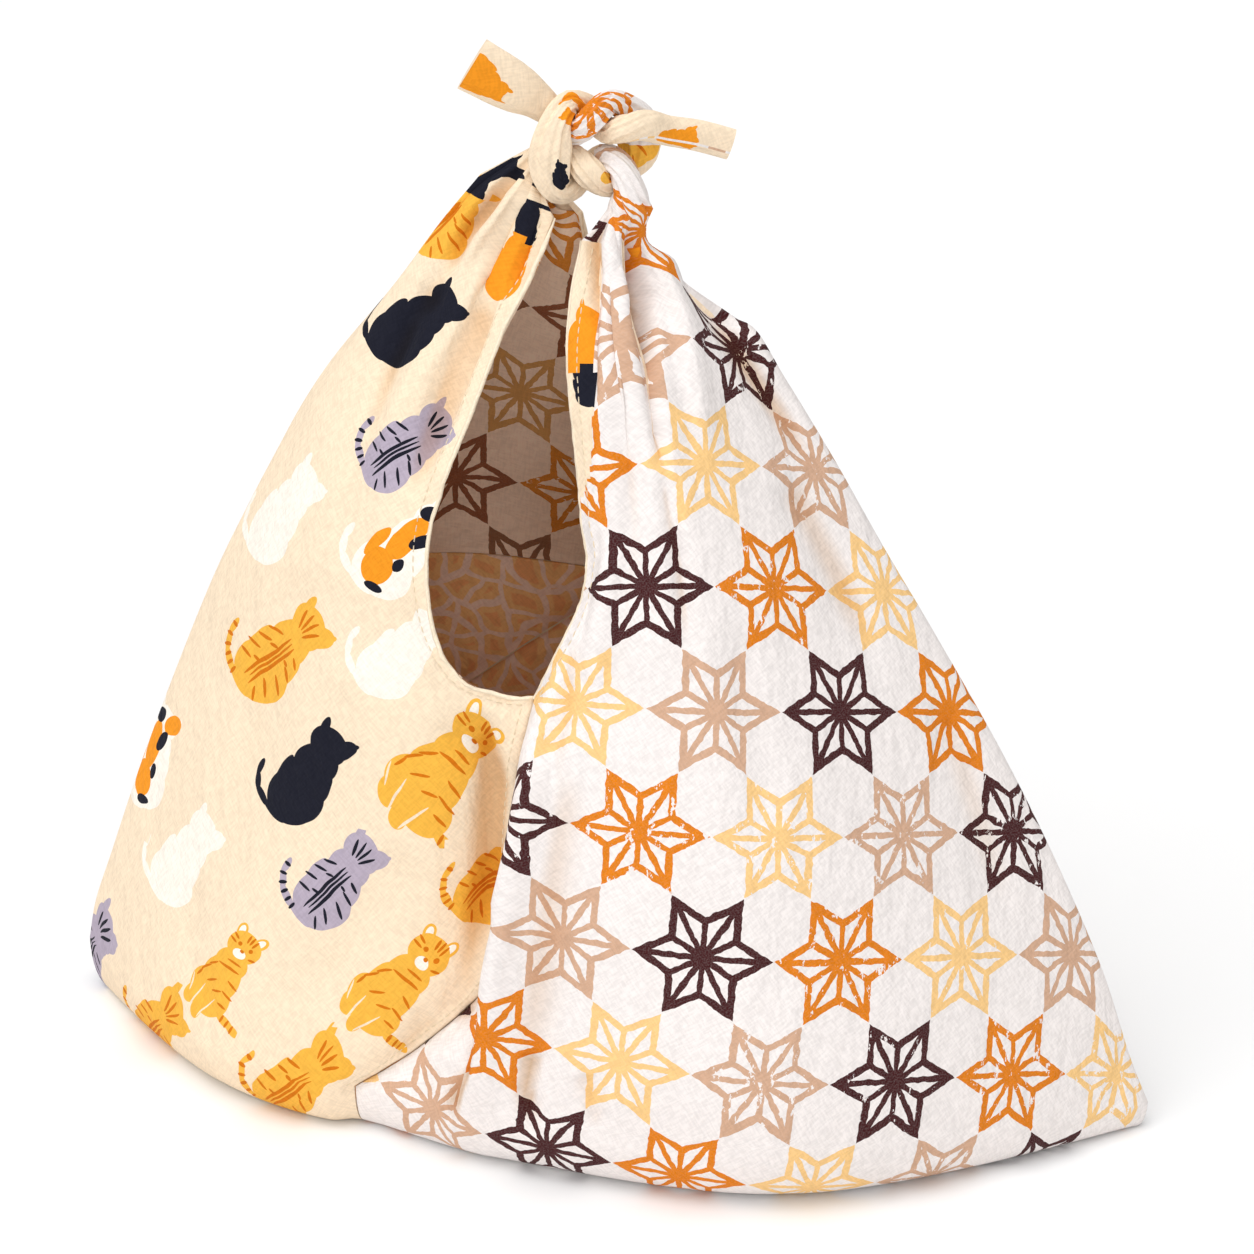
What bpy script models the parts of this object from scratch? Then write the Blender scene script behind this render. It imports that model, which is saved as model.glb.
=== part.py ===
"""Azuma bag: two printed cotton panels sewn edge to edge, lined, with their horns tied in a knot.

All tables are in millimetres in the bag's own frame: X along the bag's long base, Y from the front to
the back, Z up, the base on Z = 0. A row number runs up each panel: 0 where the cloth lies on the
ground, 1 at the top of the rounded bottom edge, 6 at the foot of the two openings, 12 at the neck.
"""
import math

import bmesh
import bpy
import numpy as np

MM = 0.001

PANEL_THICKNESS = 1.2
LINING_THICKNESS = 1.0
HORN_GAP = 0.35
BASE_GAP = 0.75
SEAM_GAP = 0.4
LINING_SEAM_GAP = 0.45
MITRE_LIMIT = 0.45
BLUNT_REACH = 0.5
BLUNT_COLUMNS = 3
SHOULDER_STEP = 8
SHOULDER_RISE = 1.5
ORIGIN = (-6.5, -9.6)

MOUTH_ROW = 6
NECK_ROW = 12
LINING_TOP_ROW = 11.5
CAT_RIDGE_LINE = 4
STAR_RIDGE_LINE = 5

CAT_COLOUR = (0.86, 0.75, 0.57)
STAR_COLOUR = (0.84, 0.79, 0.77)
LEAF_COLOUR = (0.62, 0.42, 0.2)
COTTON_ROUGHNESS = 0.85

# Lines that the cat panel hangs on, each with columns: row, x, y, z.
FRONT_SEAM = [
    (1, -58, -58, 14), (2, -37, -57, 31), (3, -18, -56, 53), (4, -14, -56, 77),
    (5, -12, -55, 105.5), (5.5, -10, -54, 121), (6, -8, -51, 132.5)]
BACK_SEAM = [
    (1, -146, 27, 13), (2, -132, 36, 28), (3, -110, 47, 50), (4, -78, 51, 76),
    (5, -42, 51, 105), (6, -5, 48, 132.5)]
CAT_FRONT_HEM = [
    (6, -8, -51, 132.5), (6.3, -15, -53, 134.4), (6.65, -24, -53.5, 138.5), (7.1, -33, -52.5, 147),
    (7.7, -37, -51, 161), (8.4, -37.5, -47, 175.5), (9.1, -35, -42.5, 189), (9.8, -31, -36.5, 203),
    (10.4, -26.5, -30.5, 218), (11, -21, -24, 232.5), (11.5, -16.5, -18, 243.5), (12, -13.5, -12.5, 252)]
CAT_CHEEK = [
    (1, -66, -61, 14), (2, -50, -61.5, 30), (3, -36, -61.5, 50), (4, -32, -61, 76),
    (5, -30, -59, 105), (6, -27, -55.5, 130), (7.1, -42, -50.5, 149), (8.4, -48, -44.5, 176),
    (9.8, -39.5, -34.5, 204.5), (11, -28, -23, 233), (12, -18.5, -13.5, 254.5)]
CAT_FACE = [
    (1, -104, -51, 16), (2, -101, -50.5, 28), (3, -96, -49, 46), (4, -88, -47, 75),
    (5, -82, -45, 105), (6, -79, -42, 135), (7.1, -77, -38, 158), (8.4, -69, -33.5, 184),
    (9.8, -58, -28, 211), (11, -44, -21, 235), (12, -29.5, -13, 258)]
CAT_RIDGE = [
    (1, -163.5, 7, 15), (2, -160.5, 6, 28), (3, -154, 4, 45), (4, -142.5, 1, 75),
    (5, -130, -2, 105), (6, -116, -4, 137), (7.1, -104.5, -5, 160), (8.4, -91, -6, 185),
    (9.8, -77, -7, 211), (11, -62, -7, 233.5), (11.5, -51.5, -6, 247.5), (12, -40, -5, 260)]
CAT_BACK = [
    (1, -155, 20.5, 14), (2, -147, 27, 28), (3, -133, 35, 47), (4, -113, 40, 75.5),
    (5, -90, 42, 105), (6, -65, 42, 135), (7.1, -63, 38, 157), (8.4, -56, 32, 182),
    (9.8, -46.5, 25.5, 207.5), (11, -36.5, 17, 231), (12, -25, 10.5, 253)]
CAT_BACK_HEM = [
    (6, -5, 48, 132.5), (6.3, -8, 47, 138), (6.65, -11, 46, 144), (7.1, -14, 44, 152),
    (7.7, -16.5, 41.5, 161), (8.4, -17.5, 38.5, 171), (9.1, -16.5, 35, 183), (9.8, -15, 31, 196),
    (10.4, -13, 27, 209), (11, -11.5, 22, 222.5), (11.5, -11, 17, 235), (12, -11.5, 12, 247)]

# Lines that the star panel hangs on, with the same columns.
STAR_FRONT_HEM = [
    (6, -8, -51, 132.5), (6.3, -5, -51.5, 138), (6.65, -2.5, -51, 144), (7.1, 0.5, -49.5, 152),
    (7.7, 3, -46.5, 161), (8.4, 4, -43, 171), (9.1, 3, -39.5, 182.5), (9.8, 1, -35.5, 196),
    (10.4, -1.5, -31, 209), (11, -4.5, -26, 223), (11.5, -6.5, -21, 235), (12, -6, -15, 246)]
STAR_ROLL = [
    (1, -24, -70, 18), (2, -20, -72, 36), (3, -15.5, -71, 57), (4, -12, -69, 82),
    (5, -9, -65, 109), (5.5, -7, -61.5, 124), (6, -3, -56.5, 135), (7.1, 4.5, -52.5, 154),
    (8.4, 8, -46, 172), (9.8, 5, -38.5, 197), (11, 0, -28.5, 225), (12, -1, -16, 246)]
STAR_FACE = [
    (1, 69, -70.5, 20), (2, 68.5, -71, 34), (3, 66, -69, 52), (4, 60, -65, 78),
    (5, 52, -60, 106), (6, 44, -52, 136), (7.1, 37, -45.5, 160), (8.4, 28.5, -37.5, 185),
    (9.8, 20.5, -28, 210), (11, 13.5, -18, 230), (12, 9.5, -8.5, 246)]
STAR_RIDGE = [
    (1, 150.5, 7, 7), (2, 145, 7, 20), (3, 136, 8, 45), (4, 122, 9, 75),
    (5, 106, 9.5, 105), (6, 87, 9, 137), (7.1, 72.5, 9, 160), (8.4, 57.5, 9, 185),
    (9.8, 41.5, 8.5, 210), (11, 28.5, 7, 228.5), (12, 18.5, 4.5, 245)]
STAR_BACK = [
    (1, -12, 57, 16), (2, -5, 57, 30), (3, 8, 56, 48), (4, 20, 54, 75),
    (5, 31, 50, 105), (6, 40, 44, 135), (7.1, 43, 39, 155), (8.4, 38, 33, 180),
    (9.8, 29, 26, 207), (11, 19.5, 18, 228), (12, 11.5, 11, 244)]
STAR_BACK_HEM = [
    (6, -5, 48, 132.5), (6.3, 2, 49, 134.4), (6.65, 10.5, 49, 138), (7.1, 19, 48, 146),
    (7.7, 23, 46, 159), (8.4, 24, 43, 172), (9.1, 22, 38.5, 186), (9.8, 18, 33, 200),
    (10.4, 14, 28, 212), (11, 9, 22.5, 225), (11.5, 5.5, 18, 234.5), (12, 3, 13, 243)]

# How round the two outer ridges are, with columns: row, radius.
LEFT_NOSE = [(1, 6), (4, 8), (8, 8), (12, 5)]
RIGHT_NOSE = [(1, 3), (4, 5), (8, 6), (12, 4)]

# How far the cloth turns under the bag at the ground, one value for each line around the panel.
CAT_TURN_UNDER = [9, 9, 12, 4.5, 4.5, 4.5, 7, 8]
STAR_TURN_UNDER = [9, 12, 13, 17, 2.2, 2.2, 2.2, 12, 8]

# The knot stands square to the front view, so its tables are turned about Z by this angle and start
# from its own middle. Columns: x, y, z, the way the outer face looks, half its height, half its depth.
KNOT_TURN = math.radians(16.2)
KNOT_MIDDLE = (-7.6, 0.9, 267)
CAT_STRAND = [
    (-13.5, 4.3, -4.6, -0.3, -0.1, 1, 5, 4),
    (-9, 4, -4.8, 0, -0.3, 1, 3.2, 3), (-4.5, 0.1, -1.6, 0, -0.5, 0.87, 2.8, 2.8),
    (0, -4, -4.6, 0, -1, 0.3, 3, 3.5), (4.5, -0.4, -9.1, 0, -1, 0, 2.8, 2.8),
    (9, 4.2, -6.5, 0, -1, 0, 3.4, 3.2), (12.5, 6, -2, 0, -1, 0, 3.6, 4.6),
    (13, 6.2, 1.8, 0, -1, 0, 3.6, 5), (12.5, 6, 6, 0, -1, 0, 3.6, 4.6),
    (9.2, 3.8, 10.6, 0, -1, 0, 3.4, 3.2), (4.6, -0.4, 13, 0, -1, 0, 2.8, 2.8),
    (0, -4.1, 9, 0, -1, 0.3, 2.9, 3.1), (-4.5, -0.1, 5.3, 0, -0.5, 0.87, 3, 2.8),
    (-9, 4, 8.3, 0, -0.2, 1, 3.4, 3), (-13.5, 3, 12.5, 0.4, 0, 0.9, 4.8, 2.4),
    (-18, 0.8, 15.8, 0.45, 0, 0.9, 6.4, 1.8), (-30.5, -1, 23.5, 0.5, 0, 0.87, 7.6, 1.5)]
STAR_STRAND = [
    (10.5, -4.4, -14, 0.7, -0.7, 0, 5, 5), (10.3, -4.8, -9, 0.3, -1, 0, 3.6, 3.6),
    (8.4, -3.9, -4, 0, -1, 0, 3, 3), (4.5, 0, -1.7, 0, -1, 0, 2.8, 2.8),
    (0, 4.1, -5.3, 0, -1, 0, 2.9, 2.8), (-4.5, 0.9, -9.9, 0, -1, 0, 2.8, 2.8),
    (-8.5, -3.6, -9.4, 0, -1, 0, 2.9, 3.2), (-10.5, -5, -3.5, 0, -1, 0, 2.8, 4.6),
    (-10.2, -5.4, 3, 0, -1, 0, 2.8, 4.6), (-8.5, -4, 9.4, 0, -1, 0, 2.8, 3.4),
    (-5.2, 0.2, 12.9, 0, -1, 0, 2.8, 2.8), (0, 4.2, 9.2, 0, -1, 0, 3, 3.4),
    (4.5, 0.7, 5, 0, -1, 0.3, 2.8, 2.8), (9, -4.2, 7.2, 0, -0.7, 0.7, 3.2, 3.1),
    (14, -3.4, 7.8, 0, -0.3, 1, 4, 3), (20, 0, 5.5, 0, 0, 1, 4, 2), (28, 2.5, 3.5, 0, 0, 1, 4.2, 1.6),
    (37, 4.5, 0.5, 0, 0, 1, 4.2, 1.5)]
STRAND_OUTER_REACH = math.radians(115)
STRAND_INNER_REACH = math.radians(125)
NECK_STEPS = 4
NECK_EASE = 0.65
EASE_ROW = 9

# Soft pleats, with columns: line the pleat runs on at its foot and at the neck, row of its foot,
# width in lines, depth. A ridge has a positive depth and a trough a negative one.
CAT_PLEATS = [
    (0.7, 0.9, 8.0, 0.30, -2.6), (1.5, 1.5, 7.5, 0.30, 2.8), (2.1, 2.0, 7.0, 0.28, -3.2),
    (2.7, 2.6, 8.0, 0.28, 2.6), (5.7, 5.6, 8.0, 0.35, -3.0)]
STAR_PLEATS = [
    (1.2, 1.4, 8.5, 0.30, 2.6), (2.3, 2.2, 6.5, 0.26, -4.5), (2.75, 2.8, 7.5, 0.28, 3.5),
    (3.4, 3.35, 7.5, 0.25, -3.4), (6.6, 6.5, 8.0, 0.35, -3.0)]

# Columns between one line and the next, and rows from the ground to the neck.
CAT_COLUMNS = [2, 4, 4, 1, 1, 3, 4]
STAR_COLUMNS = [1, 1, 5, 5, 1, 1, 7, 8]
TURN_ROWS = [0, 0.35, 0.65]
TURN_COUNT = len(TURN_ROWS)
WALL_ROWS = [1, 1.8, 2.8, 3.8, 4.7, 5.5, 6, 6.3, 6.65, 7.1, 7.7, 8.4, 9.1, 9.8, 10.4, 11, 11.5, 12]
MOUTH = TURN_COUNT + WALL_ROWS.index(MOUTH_ROW)
LINING_TOP = TURN_COUNT + WALL_ROWS.index(LINING_TOP_ROW)


def unit(vector):
    return vector / np.linalg.norm(vector, axis=-1, keepdims=True)


def read(table, at):
    """Smooth curve through a table's points, read where its first column has the value at."""
    table = np.array(table, float)
    knots, values = table[:, 0], table[:, 1:]
    slopes = np.gradient(values, knots, axis=0)
    at = np.clip(at, knots[0], knots[-1])
    k = min(int(np.searchsorted(knots, at, side="right")) - 1, len(knots) - 2)
    step = knots[k + 1] - knots[k]
    t = (at - knots[k]) / step
    start = (2 * t**3 - 3 * t**2 + 1) * values[k] + (t**3 - 2 * t**2 + t) * step * slopes[k]
    end = (3 * t**2 - 2 * t**3) * values[k + 1] + (t**3 - t**2) * step * slopes[k + 1]
    return start + end


def smooth(t):
    t = np.clip(t, 0, 1)
    return t * t * (3 - 2 * t)


def hem(seam, free_hem, row):
    """The panel's edge: on the seam up to the foot of the mouth, then its own hem."""
    return read(seam if row <= MOUTH_ROW else free_hem, row)


def nose(ridge, ahead, behind, radius):
    """The points where a round nose of this radius meets the cloth ahead of and behind the ridge."""
    to_ahead, to_behind = unit(ahead - ridge), unit(behind - ridge)
    inward, across = unit(to_ahead + to_behind), unit(to_ahead - to_behind)
    half = math.acos(float(np.dot(to_ahead, inward)))
    back_off = inward * radius * (1 - math.sin(half))
    reach = across * radius * math.cos(half)
    return ridge + back_off + reach, ridge + back_off - reach


def cat_lines(row):
    front = hem(FRONT_SEAM, CAT_FRONT_HEM, row)
    back = hem(BACK_SEAM, CAT_BACK_HEM, row)
    face, ridge, rear = read(CAT_FACE, row), read(CAT_RIDGE, row), read(CAT_BACK, row)
    ahead, behind = nose(ridge, face, rear, read(LEFT_NOSE, row)[0])
    return np.array([front, read(CAT_CHEEK, row), face, ahead, ridge, behind, rear, back])


def star_lines(row):
    front = hem(FRONT_SEAM, STAR_FRONT_HEM, row)
    back = hem(BACK_SEAM, STAR_BACK_HEM, row)
    roll, face = read(STAR_ROLL, row), read(STAR_FACE, row)
    shoulder = roll + SHOULDER_STEP * unit(face - roll) - np.array([0, SHOULDER_RISE, 0])
    ridge, rear = read(STAR_RIDGE, row), read(STAR_BACK, row)
    ahead, behind = nose(ridge, face, rear, read(RIGHT_NOSE, row)[0])
    return np.array([front, roll, shoulder, face, ahead, ridge, behind, rear, back])


def section(lines, columns):
    """One row of the cloth: a smooth curve through its lines, and the line number at each column."""
    spans = np.sqrt(np.linalg.norm(np.diff(lines, axis=0), axis=1))
    knots = np.concatenate([[0], np.cumsum(spans)])
    table = np.column_stack([knots, lines])
    stations = np.concatenate([k + np.arange(n) / n for k, n in enumerate(columns)] + [[len(columns)]])
    at = np.interp(stations, np.arange(len(knots)), knots)
    return np.array([read(table, value) for value in at]), stations


def outward(grid, hand):
    """Unit normals of a grid of points, pointing out of the bag."""
    along, up = np.gradient(grid, axis=1), np.gradient(grid, axis=0)
    return unit(hand * np.cross(along, up))


def pleated(grid, rows, stations, pleats, hand):
    """The grid with its pleats, which deepen from their foot and ease again at the neck."""
    normals = outward(grid, hand)
    height = np.zeros(grid.shape[:2])
    for foot_line, neck_line, foot_row, width, depth in pleats:
        rise = smooth((rows - foot_row) / (NECK_ROW - foot_row))
        line = foot_line + (neck_line - foot_line) * rise
        size = depth * rise * (1 - NECK_EASE * smooth((rows - EASE_ROW) / (NECK_ROW - EASE_ROW)))
        height += size[:, None] * np.exp(-((stations[None] - line[:, None]) / width) ** 2)
    return grid + normals * height[..., None]


def wall(lines_at, columns, turn_under, pleats, hand):
    """Rows of the panel's outer face from the ground to the neck."""
    rows = np.array(WALL_ROWS, float)
    sections = [section(lines_at(row), columns) for row in rows]
    stations = sections[0][1]
    grid = pleated(np.array([points for points, _ in sections]), rows, stations, pleats, hand)
    foot = grid[0]
    run = np.gradient(foot[:, :2], axis=0)
    out = unit(hand * np.column_stack([run[:, 1], -run[:, 0]]))
    inset = np.interp(stations, np.arange(len(turn_under)), turn_under)
    turned = []
    for row in TURN_ROWS:
        angle = row * math.pi / 2
        flat = foot[:, :2] - out * (inset * (1 - math.sin(angle)))[:, None]
        turned.append(np.column_stack([flat, foot[:, 2] * (1 - math.cos(angle))]))
    return np.concatenate([np.array(turned), grid])


class Cloth:
    """A panel's outer face, with the way out of the bag at each point."""

    def __init__(self, grid, hand):
        self.grid, self.hand = grid, hand
        self.normals = outward(grid, hand)
        self.normals[0] = (0, 0, -1)

    def inside(self, depth):
        return self.grid - self.normals * depth


def join(star, cat):
    """Bring the two panels' edges together along both seams, mitred and a seam gap apart."""
    for column, nearby in ((0, 1), (-1, -2)):
        star_way, cat_way = star.normals[:MOUTH + 1, column], cat.normals[:MOUTH + 1, column]
        shared = unit(star_way + cat_way)
        shared /= np.maximum(np.sum(shared * star_way, axis=1, keepdims=True), MITRE_LIMIT)
        seam = (star.grid[:MOUTH + 1, column] + cat.grid[:MOUTH + 1, column]) / 2
        across = unit(np.cross(shared, np.gradient(seam, axis=0)))
        to_star = star.grid[:MOUTH + 1, nearby] - cat.grid[:MOUTH + 1, nearby]
        across *= np.sign(np.sum(across * to_star, axis=1, keepdims=True))
        for cloth, side in ((star, 1), (cat, -1)):
            cloth.grid[:MOUTH + 1, column] = seam + across * side * SEAM_GAP / 2
            cloth.normals[:MOUTH + 1, column] = shared


def in_bag(points):
    """Knot points turned square to the front view and moved to the knot's place."""
    c, s = math.cos(KNOT_TURN), math.sin(KNOT_TURN)
    x, y, z = points[..., 0], points[..., 1], points[..., 2]
    return np.stack([c * x - s * y, s * x + c * y, z], axis=-1)


def strand(table, count, hand):
    """Sections of a horn's end through the knot: its outer half and its inner half."""
    keys = np.array(table, float)
    reach = np.concatenate([[0], np.cumsum(np.linalg.norm(np.diff(keys[:, :3], axis=0), axis=1))])
    table = np.column_stack([reach, keys])
    at = np.sort(np.concatenate([reach, (reach[1:] + reach[:-1]) / 2]))
    keys = np.array([read(table, value) for value in at])
    centre = in_bag(keys[:, :3]) + np.array(KNOT_MIDDLE)
    tangent = unit(np.gradient(centre, at, axis=0))
    out = in_bag(keys[:, 3:6])
    out = unit(out - tangent * np.sum(out * tangent, axis=1, keepdims=True))
    side = -hand * np.cross(out, tangent)
    halves = []
    for first, last in ((-STRAND_OUTER_REACH, STRAND_OUTER_REACH),
                        (-STRAND_INNER_REACH, STRAND_INNER_REACH - 2 * math.pi)):
        angle = np.linspace(first, last, count)[None, :, None]
        high = keys[:, 6][:, None, None] * np.cos(angle) * out[:, None]
        deep = keys[:, 7][:, None, None] * np.sin(angle) * side[:, None]
        halves.append(centre[:, None] + high + deep)
    return halves


def panel(cloth, table):
    """A panel's outer and inner faces, from the ground through the neck to its free end."""
    ends = strand(table, cloth.grid.shape[1], cloth.hand)
    faces = []
    for skin, end in zip((cloth.grid, cloth.inside(PANEL_THICKNESS)), ends):
        steps = [skin[-1] + (end[0] - skin[-1]) * smooth(k / NECK_STEPS) for k in range(1, NECK_STEPS)]
        faces.append(np.concatenate([skin, np.array(steps), end]))
    return faces


class Body:
    """Points and faces of one piece, gathered one grid at a time."""

    def __init__(self):
        self.points, self.faces = [], []

    def add(self, points):
        first = len(self.points)
        flat = np.asarray(points).reshape(-1, 3)
        self.points.extend(flat.tolist())
        return first + np.arange(len(flat)).reshape(np.shape(points)[:-1])

    def strip(self, one, two):
        for k in range(len(one) - 1):
            for face in ((one[k], one[k + 1], two[k + 1]), (one[k], two[k + 1], two[k])):
                if len(set(face)) == len(face):
                    self.faces.append([int(corner) for corner in face])

    def skin(self, ids):
        for low, high in zip(ids[:-1], ids[1:]):
            self.strip(low, high)

    def finish(self, name, colour, roughness):
        mesh = bpy.data.meshes.new(name)
        mesh.from_pydata([[value * MM for value in point] for point in self.points], [], self.faces)
        shaped = bmesh.new()
        shaped.from_mesh(mesh)
        bmesh.ops.recalc_face_normals(shaped, faces=shaped.faces[:])
        shaped.to_mesh(mesh)
        shaped.free()
        mesh.shade_smooth()
        mesh.set_sharp_from_angle(angle=math.radians(50))
        mesh.materials.append(cotton(name, colour, roughness))
        piece = bpy.data.objects.new(name, mesh)
        piece.location = (-ORIGIN[0] * MM, -ORIGIN[1] * MM, 0)
        bpy.context.collection.objects.link(piece)


def cotton(name, colour, roughness):
    material = bpy.data.materials.new(name + "_cotton")
    material.use_nodes = True
    shader = material.node_tree.nodes["Principled BSDF"]
    shader.inputs["Base Color"].default_value = (*colour, 1)
    shader.inputs["Roughness"].default_value = roughness
    shader.inputs["Metallic"].default_value = 0
    return material


def sheet(outer, inner):
    """A closed sheet of cloth between its two faces, but for its foot."""
    body = Body()
    out_ids, in_ids = body.add(outer), body.add(inner)
    body.skin(out_ids)
    body.skin(in_ids)
    body.strip(out_ids[:, 0], in_ids[:, 0])
    body.strip(out_ids[:, -1], in_ids[:, -1])
    body.strip(out_ids[-1], in_ids[-1])
    return body, out_ids, in_ids


def base_edge(cat_grid):
    """The star cloth's edge under the cat panel: that panel's foot, moved in by the seam gap."""
    foot = cat_grid[0]
    run = np.gradient(foot[:, :2], axis=0)
    inward = unit(np.column_stack([run[:, 1], -run[:, 0]]))
    moved = foot.copy()
    moved[:, :2] += inward * SEAM_GAP
    return moved


def make_star_panel(star, cat):
    body, out_ids, in_ids = sheet(*panel(star, STAR_STRAND))
    low = base_edge(cat.grid)
    left_corner = sum(CAT_COLUMNS[:CAT_RIDGE_LINE])
    right_corner = sum(STAR_COLUMNS[:STAR_RIDGE_LINE])
    rims = []
    for ids, height in ((out_ids, 0), (in_ids, PANEL_THICKNESS)):
        rim = body.add(low + np.array([0, 0, height]))
        front = np.concatenate([rim[left_corner::-1], ids[0, :right_corner + 1]])
        back = np.concatenate([rim[left_corner:], ids[0, :right_corner - 1:-1]])
        body.strip(front, back)
        rims.append(np.concatenate([ids[0, :1], rim, ids[0, -1:]]))
    body.strip(*rims)
    body.finish("star_panel", STAR_COLOUR, COTTON_ROUGHNESS)


def make_cat_panel(cat):
    body, out_ids, in_ids = sheet(*panel(cat, CAT_STRAND))
    body.strip(out_ids[0], in_ids[0])
    body.finish("cat_panel", CAT_COLOUR, COTTON_ROUGHNESS)


def make_horn_lining(name, cloth, colour):
    rows = slice(MOUTH, LINING_TOP + 1)
    depth = PANEL_THICKNESS + HORN_GAP
    faces = [cloth.inside(depth)[rows], cloth.inside(depth + LINING_THICKNESS)[rows]]
    body, out_ids, in_ids = sheet(*faces)
    body.strip(out_ids[0], in_ids[0])
    body.finish(name, colour, COTTON_ROUGHNESS)


def blunt(face, ridge_column):
    """A face that leaves the sharp ridge out and turns back through one point between its sides."""
    ahead, behind = face[:, ridge_column - BLUNT_COLUMNS], face[:, ridge_column + BLUNT_COLUMNS]
    middle = (ahead + behind) / 2
    turn = middle + (face[:, ridge_column] - middle) * BLUNT_REACH
    kept_ahead, kept_behind = ridge_column - BLUNT_COLUMNS + 1, ridge_column + BLUNT_COLUMNS
    return face[:, :kept_ahead], turn[:, None], face[:, kept_behind:]


def make_base_lining(star, cat):
    body = Body()
    star_ridge, cat_ridge = sum(STAR_COLUMNS[:STAR_RIDGE_LINE]), sum(CAT_COLUMNS[:CAT_RIDGE_LINE])
    tops = []
    for depth in (PANEL_THICKNESS + BASE_GAP, PANEL_THICKNESS + BASE_GAP + LINING_THICKNESS):
        ahead, turn, behind = blunt(star.inside(depth)[:MOUTH + 1], star_ridge)
        cat_ahead, cat_turn, cat_behind = blunt(cat.inside(depth)[:MOUTH + 1], cat_ridge)
        front = np.concatenate([cat_turn, cat_ahead[:, :0:-1], ahead, turn], axis=1)
        back = np.concatenate([cat_behind[:, :-1], behind[:, ::-1]], axis=1)
        front[-1, :, 2] -= LINING_SEAM_GAP
        back[-1, :, 2] -= LINING_SEAM_GAP
        front_ids, back_ids = body.add(front), body.add(back)
        whole_back = np.concatenate([front_ids[:, :1], back_ids, front_ids[:, -1:]], axis=1)
        cat_front, cat_back = cat_ahead.shape[1], cat_behind.shape[1]
        body.skin(front_ids[:, cat_front::-1])
        body.skin(front_ids[:, cat_front:])
        body.skin(whole_back[:, :cat_back + 1])
        body.skin(whole_back[:, :cat_back - 1:-1])
        body.strip(front_ids[0], whole_back[0])
        tops.append((front_ids[-1], whole_back[-1]))
    for one, two in zip(*tops):
        body.strip(one, two)
    body.finish("base_lining", LEAF_COLOUR, COTTON_ROUGHNESS)


def build():
    for old in list(bpy.data.objects):
        bpy.data.objects.remove(old, do_unlink=True)
    cat = Cloth(wall(cat_lines, CAT_COLUMNS, CAT_TURN_UNDER, CAT_PLEATS, -1), -1)
    star = Cloth(wall(star_lines, STAR_COLUMNS, STAR_TURN_UNDER, STAR_PLEATS, 1), 1)
    join(star, cat)
    make_cat_panel(cat)
    make_star_panel(star, cat)
    make_horn_lining("left_lining", cat, STAR_COLOUR)
    make_horn_lining("right_lining", star, CAT_COLOUR)
    make_base_lining(star, cat)


build()
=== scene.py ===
"""Azuma bag of two printed cotton cloths, their horns tied in a knot: cloth, prints, stitches, light."""
import math

import bmesh
import bpy
import numpy as np
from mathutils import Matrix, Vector


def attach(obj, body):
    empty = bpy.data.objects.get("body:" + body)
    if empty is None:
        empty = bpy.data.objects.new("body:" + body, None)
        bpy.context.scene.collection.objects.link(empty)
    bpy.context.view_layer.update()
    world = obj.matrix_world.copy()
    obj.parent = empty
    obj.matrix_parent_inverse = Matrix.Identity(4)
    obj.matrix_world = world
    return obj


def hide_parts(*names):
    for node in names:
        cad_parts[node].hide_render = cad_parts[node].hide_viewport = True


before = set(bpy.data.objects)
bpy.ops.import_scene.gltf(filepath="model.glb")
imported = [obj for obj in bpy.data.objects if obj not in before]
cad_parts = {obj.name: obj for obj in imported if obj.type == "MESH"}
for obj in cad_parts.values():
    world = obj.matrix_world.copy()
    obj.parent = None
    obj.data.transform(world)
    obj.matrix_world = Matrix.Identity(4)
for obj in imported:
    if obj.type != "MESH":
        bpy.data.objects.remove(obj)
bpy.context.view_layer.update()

# All tables are in millimetres in the bag's own frame: X along its long base, Y from the front to the
# back, Z up, the base on Z = 0. A row number runs up each cloth: 0 where it lies on the ground, 1 at the
# top of the rounded bottom edge, 6 at the foot of the two openings, 12 at the neck.
MM = 0.001

# Where the middle of the finished bag's frame lies in the tables.
ORIGIN = (-6.5, -9.6)

# The sheets, the gaps from a panel to the linings of its horn and of the base, the gaps at their seams,
# and how blunt a seam's mitre is at least.
PANEL_THICKNESS = 1.2
LINING_THICKNESS = 1.0
HORN_GAP = 0.35
BASE_GAP = 0.75
SEAM_GAP = 0.4
LINING_SEAM_GAP = 0.45
MITRE_LIMIT = 0.45

# How far the base lining reaches into a ridge, and the columns that it leaves out on either side.
BLUNT_REACH = 0.5
BLUNT_COLUMNS = 3

# The star cloth's shoulder beside its roll: how far across and how far forward.
SHOULDER_STEP = 8
SHOULDER_RISE = 1.5

# The rows of the mouths' foot, the neck and the linings' top, and the lines that run up the outer ridges.
MOUTH_ROW = 6
NECK_ROW = 12
LINING_TOP_ROW = 12
CAT_RIDGE_LINE = 4
STAR_RIDGE_LINE = 5

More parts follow.
